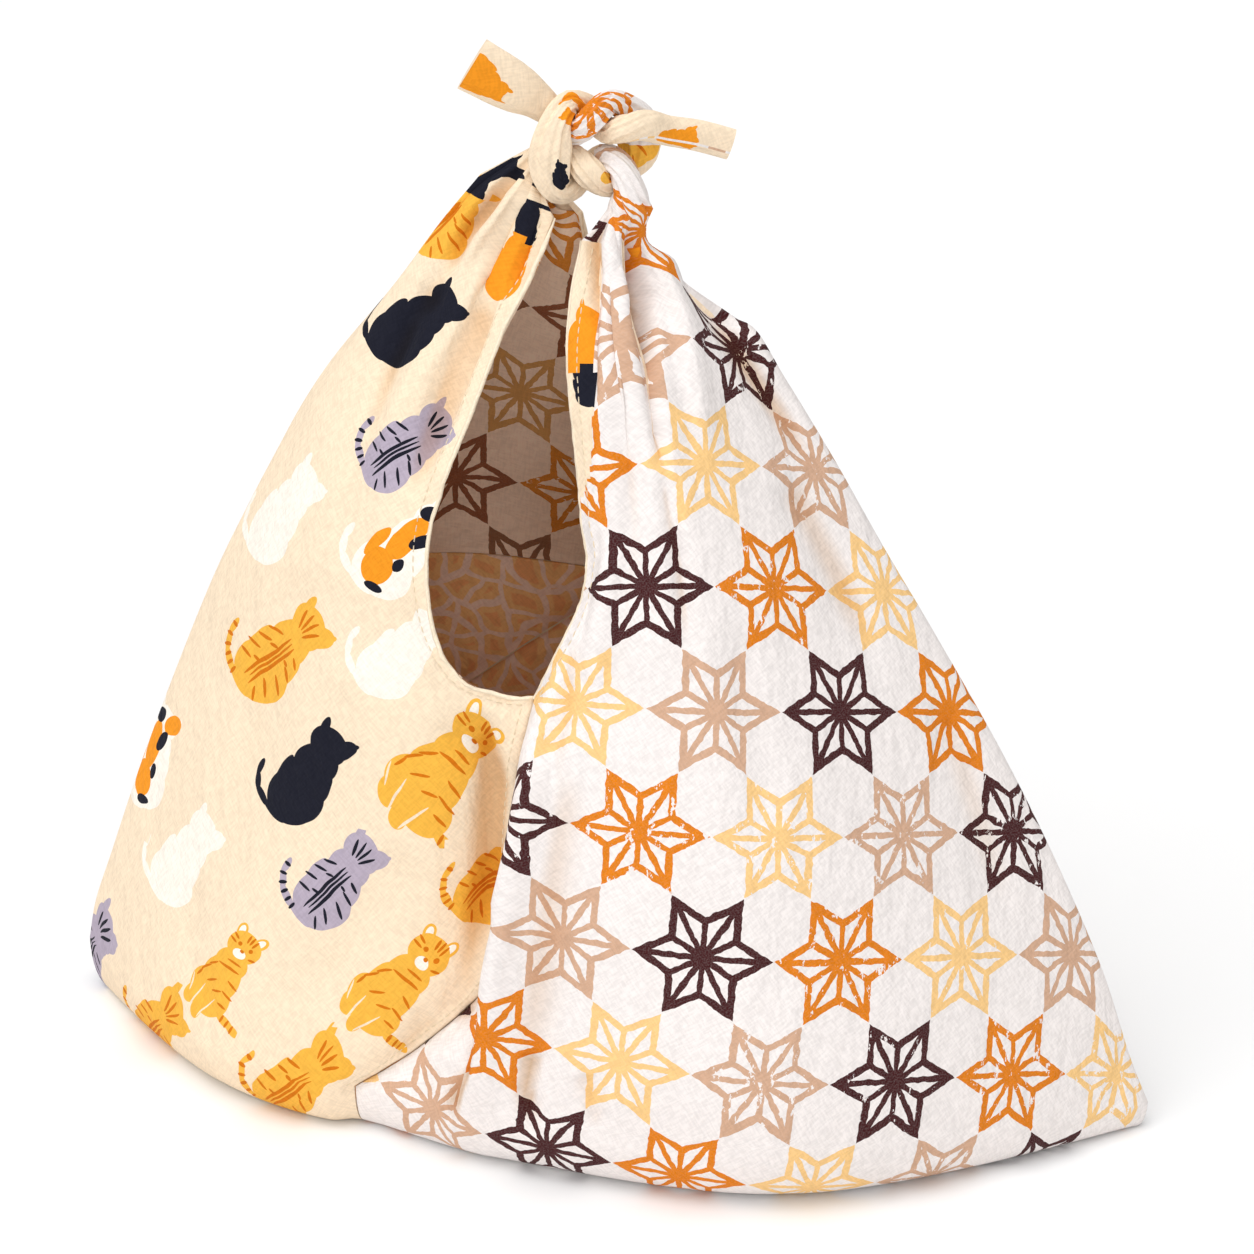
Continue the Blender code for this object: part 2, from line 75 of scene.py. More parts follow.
# Lines that the cat panel hangs on, each with columns: row, x, y, z.
FRONT_SEAM = [
    (1, -58, -58, 14), (2, -37, -57, 31), (3, -18, -56, 53), (4, -14, -56, 77),
    (5, -12, -55, 105.5), (5.5, -10, -54, 121), (6, -8, -51, 132.5)]
BACK_SEAM = [
    (1, -146, 27, 13), (2, -132, 36, 28), (3, -110, 47, 50), (4, -78, 51, 76),
    (5, -42, 51, 105), (6, -5, 48, 132.5)]
CAT_FRONT_HEM = [
    (6, -8, -51, 132.5), (6.3, -14.5, -52.5, 132.1), (6.65, -23.5, -54, 134.2), (7.1, -32.5, -53, 143),
    (7.7, -37.5, -51, 159), (8.4, -38, -47, 175.5), (9.1, -35, -42.5, 189), (9.8, -31, -36.5, 203),
    (10.4, -26.5, -30.5, 218), (11, -21, -24, 232.5), (11.5, -16.5, -18, 243.5), (12, -13.5, -12.5, 252)]
CAT_CHEEK = [
    (1, -66, -61, 14), (2, -50, -61.5, 30), (3, -36, -61.5, 50), (4, -32, -61, 76),
    (5, -30, -59, 105), (6, -27, -56.5, 123.5), (7.1, -42, -51, 146.5), (8.4, -48, -44.5, 176),
    (9.8, -39.5, -34.5, 204.5), (11, -28, -23, 233), (12, -18.5, -13.5, 254.5)]
CAT_FACE = [
    (1, -104, -51, 16), (2, -101, -50.5, 28), (3, -96, -49, 46), (4, -88, -47, 75),
    (5, -82, -45, 105), (6, -79, -42, 135), (7.1, -77, -38, 158), (8.4, -69, -33.5, 184),
    (9.8, -58, -28, 211), (11, -44, -21, 235), (12, -29.5, -13, 258)]
CAT_RIDGE = [
    (1, -163.5, 7, 15), (2, -160.5, 6, 28), (3, -154, 4, 45), (4, -142.5, 1, 75),
    (5, -130, -2, 105), (6, -116, -4, 137), (7.1, -104.5, -5, 160), (8.4, -91, -6, 185),
    (9.8, -77, -7, 211), (11, -62, -7, 233.5), (11.5, -51.5, -6, 247.5), (12, -40, -5, 260)]
CAT_BACK = [
    (1, -155, 20.5, 14), (2, -147, 27, 28), (3, -133, 35, 47), (4, -113, 40, 75.5),
    (5, -90, 42, 105), (6, -65, 42, 135), (7.1, -63, 38, 157), (8.4, -56, 32, 182),
    (9.8, -46.5, 25.5, 207.5), (11, -36.5, 17, 231), (12, -25, 10.5, 253)]
CAT_BACK_HEM = [
    (6, -5, 48, 132.5), (6.3, -8, 47, 138), (6.65, -11, 46, 144), (7.1, -14, 44, 152),
    (7.7, -16.5, 41.5, 161), (8.4, -17.5, 38.5, 171), (9.1, -16.5, 35, 183), (9.8, -15, 31, 196),
    (10.4, -13, 27, 209), (11, -11.5, 22, 222.5), (11.5, -11, 17, 235), (12, -11.5, 12, 247)]

# Lines that the star panel hangs on, with the same columns.
STAR_FRONT_HEM = [
    (6, -8, -51, 132.5), (6.3, -5, -51.5, 138), (6.65, -2.5, -51, 144), (7.1, 0.5, -49.5, 152),
    (7.7, 3, -46.5, 161), (8.4, 3.5, -43, 171), (9.1, 2, -39.5, 182.5), (9.8, -0.5, -35.5, 196),
    (10.4, -3.5, -31, 209), (11, -8, -26, 223), (11.5, -11, -21, 235), (12, -11, -15, 246)]
STAR_ROLL = [
    (1, -24, -70, 18), (2, -20, -72, 36), (3, -15.5, -71, 57), (4, -12, -69, 82),
    (5, -9, -65, 109), (5.5, -7, -61.5, 124), (6, -3, -56.5, 135), (7.1, 4.5, -52.5, 154),
    (8.4, 8, -46, 172), (9.8, 5, -38.5, 197), (11, 0, -28.5, 225), (12, -1, -16, 246)]
STAR_FACE = [
    (1, 69, -70.5, 20), (2, 68.5, -71, 34), (3, 66, -69, 52), (4, 60, -65, 78),
    (5, 52, -60, 106), (6, 44, -52, 136), (7.1, 37, -45.5, 160), (8.4, 28.5, -37.5, 185),
    (9.8, 20.5, -28, 210), (11, 13.5, -18, 230), (12, 9.5, -8.5, 246)]
STAR_RIDGE = [
    (1, 150.5, 7, 7), (2, 145, 7, 20), (3, 136, 8, 45), (4, 122, 9, 75),
    (5, 106, 9.5, 105), (6, 87, 9, 137), (7.1, 72.5, 9, 160), (8.4, 57.5, 9, 185),
    (9.8, 41.5, 8.5, 210), (11, 28.5, 7, 228.5), (12, 18.5, 4.5, 245)]
STAR_BACK = [
    (1, -12, 57, 16), (2, -5, 57, 30), (3, 8, 56, 48), (4, 20, 54, 75),
    (5, 31, 50, 105), (6, 40, 44, 135), (7.1, 43, 39, 155), (8.4, 38, 33, 180),
    (9.8, 29, 26, 207), (11, 19.5, 18, 228), (12, 11.5, 11, 244)]
STAR_BACK_HEM = [
    (6, -5, 48, 132.5), (6.3, 2, 49, 134.4), (6.65, 10.5, 49, 138), (7.1, 19, 48, 146),
    (7.7, 23, 46, 159), (8.4, 24, 43, 172), (9.1, 22, 38.5, 186), (9.8, 18, 33, 200),
    (10.4, 14, 28, 212), (11, 9, 22.5, 225), (11.5, 5.5, 18, 234.5), (12, 3, 13, 243)]

# How round the two outer ridges are, with columns: row, radius.
LEFT_NOSE = [(1, 6), (4, 8), (8, 8), (12, 5)]
RIGHT_NOSE = [(1, 3), (4, 5), (8, 6), (12, 4)]

# How far the cloth turns under the bag at the ground, one value for each line around the panel.
CAT_TURN_UNDER = [9, 9, 12, 4.5, 4.5, 4.5, 7, 8]
STAR_TURN_UNDER = [9, 12, 13, 17, 2.2, 2.2, 2.2, 12, 8]

# The knot stands square to the front view, so its tables are turned about Z by this angle and start
# from its own middle. Columns: x, y, z, the way the outer face looks, half its height, half its depth.
KNOT_TURN = math.radians(16.2)
KNOT_MIDDLE = (-7.6, 0.9, 267)
CAT_STRAND = [
    (-13.5, 4.3, -4.6, -0.3, -0.1, 1, 5, 4),
    (-9, 4, -4.8, 0, -0.3, 1, 3.2, 3), (-4.5, 0.1, -1.6, 0, -0.5, 0.87, 2.8, 2.8),
    (0, -4, -4.6, 0, -1, 0.3, 3, 3.5), (4.5, -0.4, -9.1, 0, -1, 0, 2.8, 2.8),
    (9, 4.2, -6.5, 0, -1, 0, 3.4, 3.2), (12.5, 6, -2, 0, -1, 0, 3.6, 4.6),
    (13, 6.2, 1.8, 0, -1, 0, 3.6, 5), (12.5, 6, 6, 0, -1, 0, 3.6, 4.6),
    (9.2, 3.8, 10.6, 0, -1, 0, 3.4, 3.2), (4.6, -0.4, 13, 0, -1, 0, 2.8, 2.8),
    (0, -4.1, 9, 0, -1, 0.3, 2.9, 3.1), (-4.5, -0.1, 5.3, 0, -0.5, 0.87, 3, 2.8),
    (-9, 4, 8.3, 0, -0.2, 1, 3.4, 3), (-13.5, 3, 12.5, 0.4, 0, 0.9, 4.8, 2.4),
    (-18, 0.8, 15.8, 0.45, 0, 0.9, 6.4, 1.8), (-30.5, -1, 23.5, 0.5, 0, 0.87, 7.6, 1.5)]
STAR_STRAND = [
    (10.5, -4.4, -14, 0.7, -0.7, 0, 5, 5), (10.3, -4.8, -9, 0.3, -1, 0, 3.6, 3.6),
    (8.4, -3.9, -4, 0, -1, 0, 3, 3), (4.5, 0, -1.7, 0, -1, 0, 2.8, 2.8),
    (0, 4.1, -5.3, 0, -1, 0, 2.9, 2.8), (-4.5, 0.9, -9.9, 0, -1, 0, 2.8, 2.8),
    (-8.5, -3.6, -9.4, 0, -1, 0, 2.9, 3.2), (-10.5, -5, -3.5, 0, -1, 0, 2.8, 4.6),
    (-10.2, -5.4, 3, 0, -1, 0, 2.8, 4.6), (-8.5, -4, 9.4, 0, -1, 0, 2.8, 3.4),
    (-5.2, 0.2, 12.9, 0, -1, 0, 2.8, 2.8), (0, 4.2, 9.2, 0, -1, 0, 3, 3.4),
    (4.5, 0.7, 5, 0, -1, 0.3, 2.8, 2.8), (9, -4.2, 7.2, 0, -0.7, 0.7, 3.2, 3.1),
    (14, -3.4, 7.8, 0, -0.3, 1, 4, 3), (20, 0, 5.5, 0, 0, 1, 4, 2), (28, 2.5, 3.5, 0, 0, 1, 4.2, 1.6),
    (37, 4.5, 0.5, 0, 0, 1, 4.2, 1.5)]

# How far round a strand each side of its two halves reaches.
STRAND_OUTER_REACH = math.radians(115)
STRAND_INNER_REACH = math.radians(125)

# The share by which pleats ease again at the neck, and from which row.
NECK_EASE = 0.65
EASE_ROW = 9

# Soft pleats, with columns: line the pleat runs on at its foot and at the neck, row of its foot,
# width in lines, depth. A ridge has a positive depth and a trough a negative one.
CAT_PLEATS = [
    (0.7, 0.9, 8.0, 0.30, -2.6), (1.5, 1.5, 7.5, 0.30, 2.8), (2.1, 2.0, 7.0, 0.28, -3.2),
    (2.7, 2.6, 8.0, 0.28, 2.6), (5.7, 5.6, 8.0, 0.35, -3.0)]
STAR_PLEATS = [
    (1.2, 1.4, 8.5, 0.30, 2.6), (2.3, 2.2, 6.5, 0.26, -4.5), (2.75, 2.8, 7.5, 0.28, 3.5),
    (3.4, 3.35, 7.5, 0.25, -3.4), (6.6, 6.5, 8.0, 0.35, -3.0)]

# Columns between one line and the next, and rows from the ground to the neck.
CAT_COLUMNS = [2, 4, 4, 1, 1, 3, 4]
STAR_COLUMNS = [1, 1, 5, 5, 1, 1, 7, 8]
WALL_ROWS = [1, 1.8, 2.8, 3.8, 4.7, 5.5, 6, 6.3, 6.65, 7.1, 7.7, 8.4, 9.1, 9.8, 10.4, 11, 11.5, 12]

# Where each horn is drawn in at its neck, with columns: x and y, share of its width, from which row.
CAT_DRAWN_IN = (-20, -3, 0.15, 8.4)
STAR_DRAWN_IN = (-2, -6, 0.5, 10.2)

# How much finer the shown cloth is than the solid: columns to one of its columns, rows to a row, rows
# round the bottom edge, rows from the neck to the knot, rows from one key of a strand to the next.
FINE_COLUMNS = 7
FINE_ROWS = 12
FINE_TURN = 8
FINE_NECK = 12
FINE_STRAND = 4

# The columns of the two outer ridges.
CAT_RIDGE_COLUMN = sum(CAT_COLUMNS[:CAT_RIDGE_LINE]) * FINE_COLUMNS
STAR_RIDGE_COLUMN = sum(STAR_COLUMNS[:STAR_RIDGE_LINE]) * FINE_COLUMNS

# Gathers below the knot, and the pleats of each strand, which fade before its free end. Columns: size,
# waves to a radian, phase, and for a strand how far the phase turns along it.
GATHER_ROW = 9.3
GATHER_LIFT = 0.75
GATHERS = [(1, 9, 0.4), (0.6, 14, -0.9), (0.4, 5, 2.0)]
STRAND_SWELL = 0.13
STRAND_PLEATS = [(0.075, 9, 0.4, 5), (0.05, 14, -0.9, -11), (0.05, 5, 2.0, 8), (0.02, 3, 0, 60)]
PLEATS_END = 0.84
PLEATS_FADE = 0.14

# How far the hems stand proud, how wide they are, how they pucker in two waves up the rows, and how
# much thinner the cloth is toward them.
HEM_LIFT = 0.45
HEM_WIDTH = 3.9
HEM_STEP = 0.7
HEM_PUCKER = 0.25
PUCKER_WAVES = (1.9, 0.37)
HEM_EASE_ROWS = 4
HEM_THIN = 0.38
HEM_THIN_REACH = 7.0

# Creases ease over these parts of their length at the top and the foot. They fade at the seams and where
# the cloth turns from the camera, and the inner faces give way this many points around them.
CREASE_TOP_EASE = 0.13
CREASE_FOOT_EASE = 0.45
FACING_RANGE = 0.3
SEAM_CALM = 4.0
LINING_CALM = 3

# A fold takes its deepest painted shade this far below the cloth within so many columns and rows of it.
HOLLOW_COLUMNS = 11
HOLLOW_ROWS = 2
HOLLOW_DEPTH = 2.4

# Steps and rows for laying the cloth flat, the least that a triangle resists, and the rows over which the
# print eases from the wall's layout to the strand's.
FLAT_STEPS = 200
FLAT_TURN = 3
LEAST_STIFFNESS = 0.02
PRINT_EASE = 30

# Printed figures: how near a point counts as seen, the points over which a figure's lean is measured, the
# most that it slants, and the picture's pixels to a millimetre.
SEEN_WITHIN = 6
LEAN_STEP = 4
MOST_SLANT = 1.45
PICTURE_SCALE = 3.67

# Where the other cloth's print shows on each panel: past this key of the star strand, between these keys
# of the cat strand, and between these rows of the star panel's front hem, up to this width.
STRAND_TURN = 3
LINING_OUT = (6.5, 12.5)
HEM_OUT = (9.2, 12.8)
HEM_OUT_WIDTH = 9.0

# Stitches along the hems: how far in they lie, where the first starts, how far apart and how large they
# are. Columns of their shape: part of the length, width and height, both as shares of the thickness.
STITCH_INSET = 3.3
STITCH_START = 1.0
STITCH_PITCH = 2.7
STITCH_LENGTH = 2.0
STITCH_THICK = 0.17
STITCH_SIDES = 6
STITCH_SHAPE = [(0, 0.25, -0.8), (0.12, 0.8, 0.2), (0.5, 1, 0.45), (0.88, 0.8, 0.2), (1, 0.25, -0.8)]

# The linings' rolled edges: half sizes, how far they stand proud and out, their waves to a millimetre,
# and how small and over what length they end at the knot.
ROLL_DEPTH = 0.68
ROLL_WIDTH = 0.62
ROLL_PROUD = 0.15
ROLL_OUT = 0.25
ROLL_SIDES = 10
ROLL_WAVE = 0.10
ROLL_WAVES = (1.7, 0.6)
ROLL_END = 0.3
ROLL_FADE = 8.0

# Where two faces meet more sharply than this, their shading doesn't blend.
SHARP_ANGLE = math.radians(60)

# The camera stands square to the knot, tilted down, with its middle a little left of the picture's.
CAMERA_DISTANCE = 1150
CAMERA_TILT = math.radians(22)
CAMERA_TARGET = (0, 0, 134)
CAMERA_PLACE = np.array([0, -CAMERA_DISTANCE * math.cos(CAMERA_TILT),
                         CAMERA_TARGET[2] + CAMERA_DISTANCE * math.sin(CAMERA_TILT)])
FOCAL_PIXELS = 4220.5
PICTURE = 1254
PICTURE_MIDDLE = (617, 627)
SENSOR_WIDTH = 36

# A row of stars and a row of cats in the picture: where it starts and a place along it.
STAR_ROW = ((700, 955), (1062, 955))
CAT_ROW = ((300, 800), (470, 800))

# Creases seen from the front, with columns: depth, half width to the left and to the right of the line
# in the picture, and the line from its top, in the picture's pixels.
CAT_CREASES = [
    (-7.5, 5, 14, [(550, 165), (520, 205), (490, 258), (468, 320)]),
    (2.6, 9, 6, [(552, 172), (512, 232), (484, 276), (458, 308)]),
    (-3.6, 6, 13, [(546, 155), (506, 184), (464, 228), (434, 290)]),
    (2.4, 8, 6, [(548, 160), (514, 190), (474, 246), (452, 290)]),
    (-4.0, 5, 11, [(546, 148), (500, 156), (458, 184), (422, 240)]),
    (2.0, 7, 5, [(546, 146), (504, 146), (470, 160), (440, 190)]),
    (-5.5, 5, 10, [(556, 178), (536, 226), (520, 262), (496, 330)]),
    (2.2, 9, 7, [(556, 186), (530, 244), (506, 304), (480, 372)]),
    (-2.6, 12, 22, [(486, 290), (452, 360), (424, 440), (404, 520)]),
    (-2.2, 12, 24, [(444, 262), (390, 370), (350, 480), (326, 570)]),
    (1.4, 13, 13, [(430, 300), (396, 400), (372, 480)]),
    (-1.8, 16, 10, [(442, 480), (436, 570), (452, 650)]),
    (-6.0, 52, 12, [(478, 700), (496, 790), (492, 880), (462, 980), (420, 1040)]),
    (-1.6, 10, 10, [(446, 652), (484, 690), (526, 712)]),
    (1.2, 10, 10, [(430, 650), (466, 702), (516, 734)]),
    (-1.8, 18, 34, [(300, 560), (262, 680), (236, 800), (228, 900)]),
    (-1.6, 20, 30, [(410, 850), (340, 950), (262, 1030)]),
    (1.2, 26, 26, [(356, 640), (380, 780), (352, 900)]),
    (-1.4, 12, 20, [(190, 880), (188, 970), (222, 1036)]),
    (-1.4, 10, 14, [(430, 1010), (400, 1060), (372, 1096)]),
]
STAR_CREASES = [
    (-3.6, 6, 6, [(594, 216), (596, 290), (592, 380), (588, 440)]),
    (-9.0, 15, 4, [(630, 224), (648, 290), (656, 380), (672, 500)]),
    (3.0, 11, 13, [(608, 224), (620, 300), (622, 400), (628, 500)]),
    (3.6, 8, 20, [(648, 238), (676, 310), (694, 400), (716, 500)]),
    (-3.6, 20, 10, [(680, 250), (738, 335), (780, 404), (830, 500)]),
    (2.2, 9, 9, [(706, 250), (752, 340), (796, 420)]),
    (-2.4, 12, 8, [(664, 470), (682, 570), (694, 690)]),
    (-2.0, 22, 14, [(786, 470), (842, 580), (884, 690)]),
    (-2.0, 14, 10, [(596, 520), (580, 620), (562, 720), (548, 830)]),
    (1.6, 14, 14, [(612, 540), (598, 640), (582, 760)]),
    (-1.6, 26, 18, [(742, 620), (762, 760), (772, 900)]),
    (-1.5, 24, 18, [(934, 690), (984, 840), (1014, 960)]),
    (4.4, 6, 26, [(534, 740), (514, 850), (497, 940), (486, 1020), (474, 1080), (452, 1130),
                  (446, 1160)]),
    (-3.0, 14, 5, [(500, 900), (478, 1000), (464, 1070), (444, 1120), (436, 1150)]),
    (-1.8, 9, 9, [(536, 1050), (528, 1090), (540, 1140)]),
    (-1.6, 12, 12, [(584, 1070), (592, 1110), (610, 1150)]),
    (-1.1, 14, 14, [(440, 1060), (428, 1090), (430, 1120)]),
]

# Cats in the picture, with columns: across, down, lean to the right in degrees, size, pose (0 away,
# 1 facing), dye.
CATS = [
    (416, 326, 58, 0.92, 0, 2), (400, 448, 58, 1.0, 0, 1), (398, 552, 50, 1.0, 0, 4),
    (278, 516, 50, 1.05, 0, 3), (276, 654, 55, 1.08, 0, 0), (402, 656, 50, 0.96, 0, 3),
    (303, 778, 39, 0.97, 0, 2), (152, 756, 33, 1.0, 0, 4), (438, 768, 49, 1.14, 1, 0),
    (176, 862, 50, 1.02, 0, 3), (330, 884, 45, 0.98, 0, 1), (492, 880, 50, 1.0, 0, 0),
    (217, 972, 42, 0.8, 1, 0), (396, 988, 48, 0.97, 1, 0), (84, 945, 50, 1.0, 0, 1),
    (150, 1032, 50, 1.0, 0, 0), (290, 1090, 55, 1.0, 0, 0), (432, 208, 45, 0.9, 0, 0),
    (514, 262, 32, 0.78, 0, 5), (530, 218, 10, 0.52, 0, 6), (468, 170, 50, 0.5, 0, 6),
    (478, 72, 140, 0.5, 0, 5)]

# Parts of cats where the lining's print is turned out on the star cloth, with the same columns.
STRAND_MARKS = [
    (582, 108, -30, 0.3, 0, 5), (570, 118, -60, 0.22, 0, 5), (676, 142, 80, 0.36, 0, 5),
    (577, 344, 25, 0.7, 0, 5), (588, 382, -12, 0.5, 0, 6), (560, 176, -10, 0.2, 0, 6)]

# More cats in rows around those: how far apart, the room each needs, how far along each row is set, their
# lean and its change, and their poses and dyes in turn.
FIGURE_PITCH = 46
FIGURE_RISE = 37
FIGURE_ROOM = 43
FIGURE_SHIFT = 0.37
FIGURE_LEAN = -42
LEAN_CHANGE = 9
CHANGE_STEP = 2.3
FIGURE_ORDER = [(0, 0), (0, 2), (1, 0), (0, 3), (0, 1), (1, 0), (0, 4), (0, 3), (0, 2)]


def unit(vector):
    return vector / np.linalg.norm(vector, axis=-1, keepdims=True)


def read(table, at):
    """Smooth curve through a table's points, read where its first column has the values at."""
    table = np.array(table, float)
    knots, values = table[:, 0], table[:, 1:]
    slopes = np.gradient(values, knots, axis=0)
    at = np.clip(np.asarray(at, float), knots[0], knots[-1])
    k = np.clip(np.searchsorted(knots, at, side="right") - 1, 0, len(knots) - 2)
    step = (knots[k + 1] - knots[k])[..., None]
    t = (at[..., None] - knots[k][..., None]) / step
    start = (2 * t**3 - 3 * t**2 + 1) * values[k] + (t**3 - 2 * t**2 + t) * step * slopes[k]
    end = (3 * t**2 - 2 * t**3) * values[k + 1] + (t**3 - t**2) * step * slopes[k + 1]
    return start + end


def smooth(t):
    t = np.clip(t, 0, 1)
    return t * t * (3 - 2 * t)


def paired(one, two):
    """Two measures of the same points, side by side."""
    return np.stack(np.broadcast_arrays(one, two), axis=-1)


def toward_neck(rows, first):
    """0 up to a first row, then rising smoothly to 1 at the neck."""
    return smooth((rows - first) / (NECK_ROW - first))


def run_along(points):
    """How far each point is along its line of points, from the line's first."""
    steps = np.linalg.norm(np.diff(points, axis=-2), axis=-1)
    return np.concatenate([np.zeros(steps.shape[:-1] + (1,)), np.cumsum(steps, axis=-1)], axis=-1)


def fine_rows():
    """Row numbers of the shown cloth, from the top of the bottom edge to the neck."""
    parts = []
    for low, high in zip(WALL_ROWS[:-1], WALL_ROWS[1:]):
        count = max(2, round((high - low) * FINE_ROWS))
        parts.append(low + (high - low) * np.arange(count) / count)
    return np.concatenate(parts + [[NECK_ROW]])


ROWS = fine_rows()
MOUTH = FINE_TURN + int(np.argmin(np.abs(ROWS - MOUTH_ROW)))
LINING_TOP = FINE_TURN + int(np.argmin(np.abs(ROWS - LINING_TOP_ROW)))


def hem(seam, free_hem, row):
    """The cloth's edge: on the seam up to the foot of the mouth, then its own hem."""
    return read(seam if row <= MOUTH_ROW else free_hem, row)


def nose(ridge, ahead, behind, radius):
    """The points where a round nose of this radius meets the cloth ahead of and behind the ridge."""
    to_ahead, to_behind = unit(ahead - ridge), unit(behind - ridge)
    inward, across = unit(to_ahead + to_behind), unit(to_ahead - to_behind)
    half = math.acos(float(np.dot(to_ahead, inward)))
    back_off = inward * radius * (1 - math.sin(half))
    reach = across * radius * math.cos(half)
    return ridge + back_off + reach, ridge + back_off - reach


def cat_lines(row):
    front = hem(FRONT_SEAM, CAT_FRONT_HEM, row)
    back = hem(BACK_SEAM, CAT_BACK_HEM, row)
    face, ridge, rear = read(CAT_FACE, row), read(CAT_RIDGE, row), read(CAT_BACK, row)
    ahead, behind = nose(ridge, face, rear, read(LEFT_NOSE, row)[0])
    return np.array([front, read(CAT_CHEEK, row), face, ahead, ridge, behind, rear, back])


def star_lines(row):
    front = hem(FRONT_SEAM, STAR_FRONT_HEM, row)
    back = hem(BACK_SEAM, STAR_BACK_HEM, row)
    roll, face = read(STAR_ROLL, row), read(STAR_FACE, row)
    shoulder = roll + SHOULDER_STEP * unit(face - roll) - np.array([0, SHOULDER_RISE, 0])
    ridge, rear = read(STAR_RIDGE, row), read(STAR_BACK, row)
    ahead, behind = nose(ridge, face, rear, read(RIGHT_NOSE, row)[0])
    return np.array([front, roll, shoulder, face, ahead, ridge, behind, rear, back])


def section(lines, columns, finer):
    """One row of the cloth: a smooth curve through its lines, and the line number at each column."""
    spans = np.sqrt(np.linalg.norm(np.diff(lines, axis=0), axis=1))
    knots = np.concatenate([[0], np.cumsum(spans)])
    table = np.column_stack([knots, lines])
    stations = [k + np.arange(n * finer) / (n * finer) for k, n in enumerate(columns)]
    stations = np.concatenate(stations + [[len(columns)]])
    at = np.interp(stations, np.arange(len(knots)), knots)
    return read(table, at), stations


def outward(grid, hand):
    """Unit normals of a grid of points, pointing out of the bag."""
    along, up = np.gradient(grid, axis=1), np.gradient(grid, axis=0)
    return unit(hand * np.cross(along, up))


def painted_fold_shade(face, hand):
    """0 to 1: shade painted where a point of a face lies deep in a fold, below the mean of what is around
    it.
    """
    mean = face
    for axis, reach in ((1, HOLLOW_COLUMNS), (0, HOLLOW_ROWS)):
        padded = np.pad(mean, [(reach, reach) if k == axis else (0, 0) for k in range(3)], mode="edge")
        sums = np.cumsum(padded, axis=axis)
        sums = np.insert(sums, 0, 0, axis=axis)
        size, count = 2 * reach + 1, face.shape[axis]
        above = np.take(sums, np.arange(size, size + count), axis=axis)
        mean = (above - np.take(sums, np.arange(count), axis=axis)) / size
    return smooth(np.sum((mean - face) * outward(face, hand), axis=-1) / HOLLOW_DEPTH)


def pleat_height(rows, stations, pleats):
    """How far the pleats stand out: they deepen from their foot and ease again at the neck."""
    height = np.zeros((len(rows), len(stations)))
    for foot_line, neck_line, foot_row, width, depth in pleats:
        rise = toward_neck(rows, foot_row)
        line = foot_line + (neck_line - foot_line) * rise
        size = depth * rise * (1 - NECK_EASE * toward_neck(rows, EASE_ROW))
        height += size[:, None] * np.exp(-((stations[None] - line[:, None]) / width) ** 2)
    return height


def gather_height(rows, count):
    """Lengthwise gathers where a horn is drawn together below the knot."""
    across = np.linspace(-STRAND_OUTER_REACH, STRAND_OUTER_REACH, count)[None, :]
    waves = sum(size * np.cos(number * across + phase) for size, number, phase in GATHERS)
    return GATHER_LIFT * toward_neck(rows, GATHER_ROW)[:, None] * waves


def turned_under(foot, stations, turn_under, hand, count):
    """Rows that round the bottom edge, from the ground up to the foot of the wall."""
    run = np.gradient(foot[:, :2], axis=0)
    out = unit(hand * np.column_stack([run[:, 1], -run[:, 0]]))
    inset = np.interp(stations, np.arange(len(turn_under)), turn_under)
    turned = []
    for angle in np.arange(count) / count * math.pi / 2:
        flat = foot[:, :2] - out * (inset * (1 - math.sin(angle)))[:, None]
        turned.append(np.column_stack([flat, foot[:, 2] * (1 - math.cos(angle))]))
    return np.array(turned)


def about_z(points, angle):
    """Points turned about Z."""
    c, s = math.cos(angle), math.sin(angle)
    x, y, z = points[..., 0], points[..., 1], points[..., 2]
    return np.stack([c * x - s * y, s * x + c * y, z], axis=-1)


def in_bag(points):
    """Points of the knot or the camera, which stand square to the front view, in the bag's frame."""
    return about_z(points, KNOT_TURN)


def in_picture(points):
    """Where points lie in the picture, in its pixels."""
    back, up = math.cos(CAMERA_TILT), math.sin(CAMERA_TILT)
    seen = about_z(points, -KNOT_TURN) - CAMERA_PLACE
    ahead = seen[..., 1] * back - seen[..., 2] * up
    above = seen[..., 1] * up + seen[..., 2] * back
    across = PICTURE_MIDDLE[0] + FOCAL_PIXELS * seen[..., 0] / ahead
    down = PICTURE_MIDDLE[1] - FOCAL_PIXELS * above / ahead
    return paired(across, down)


def facing(points, normals):
    """1 where the cloth faces the camera, falling to 0 where it turns away."""
    toward = unit(in_bag(CAMERA_PLACE) - points)
    return smooth(np.sum(toward * normals, axis=-1) / FACING_RANGE)


def along_line(points, line):
    """Picture points' gap from a line, the part of its length they are at, and if they lie left of it."""
    line = np.array(line, float)
    starts = run_along(line)
    best, where = np.full(points.shape[:-1], np.inf), np.zeros(points.shape[:-1])
    left = np.zeros(points.shape[:-1], bool)
    for k in range(len(line) - 1):
        way, away, length = line[k + 1] - line[k], points - line[k], starts[k + 1] - starts[k]
        t = np.clip(np.sum(away * way, axis=-1) / length ** 2, 0, 1)
        gap = np.linalg.norm(away - t[..., None] * way, axis=-1)
        closer = gap < best
        best = np.where(closer, gap, best)
        where = np.where(closer, starts[k] + t * length, where)
        left = np.where(closer, way[0] * away[..., 1] - way[1] * away[..., 0] > 0, left)
    return best, where / starts[-1], left


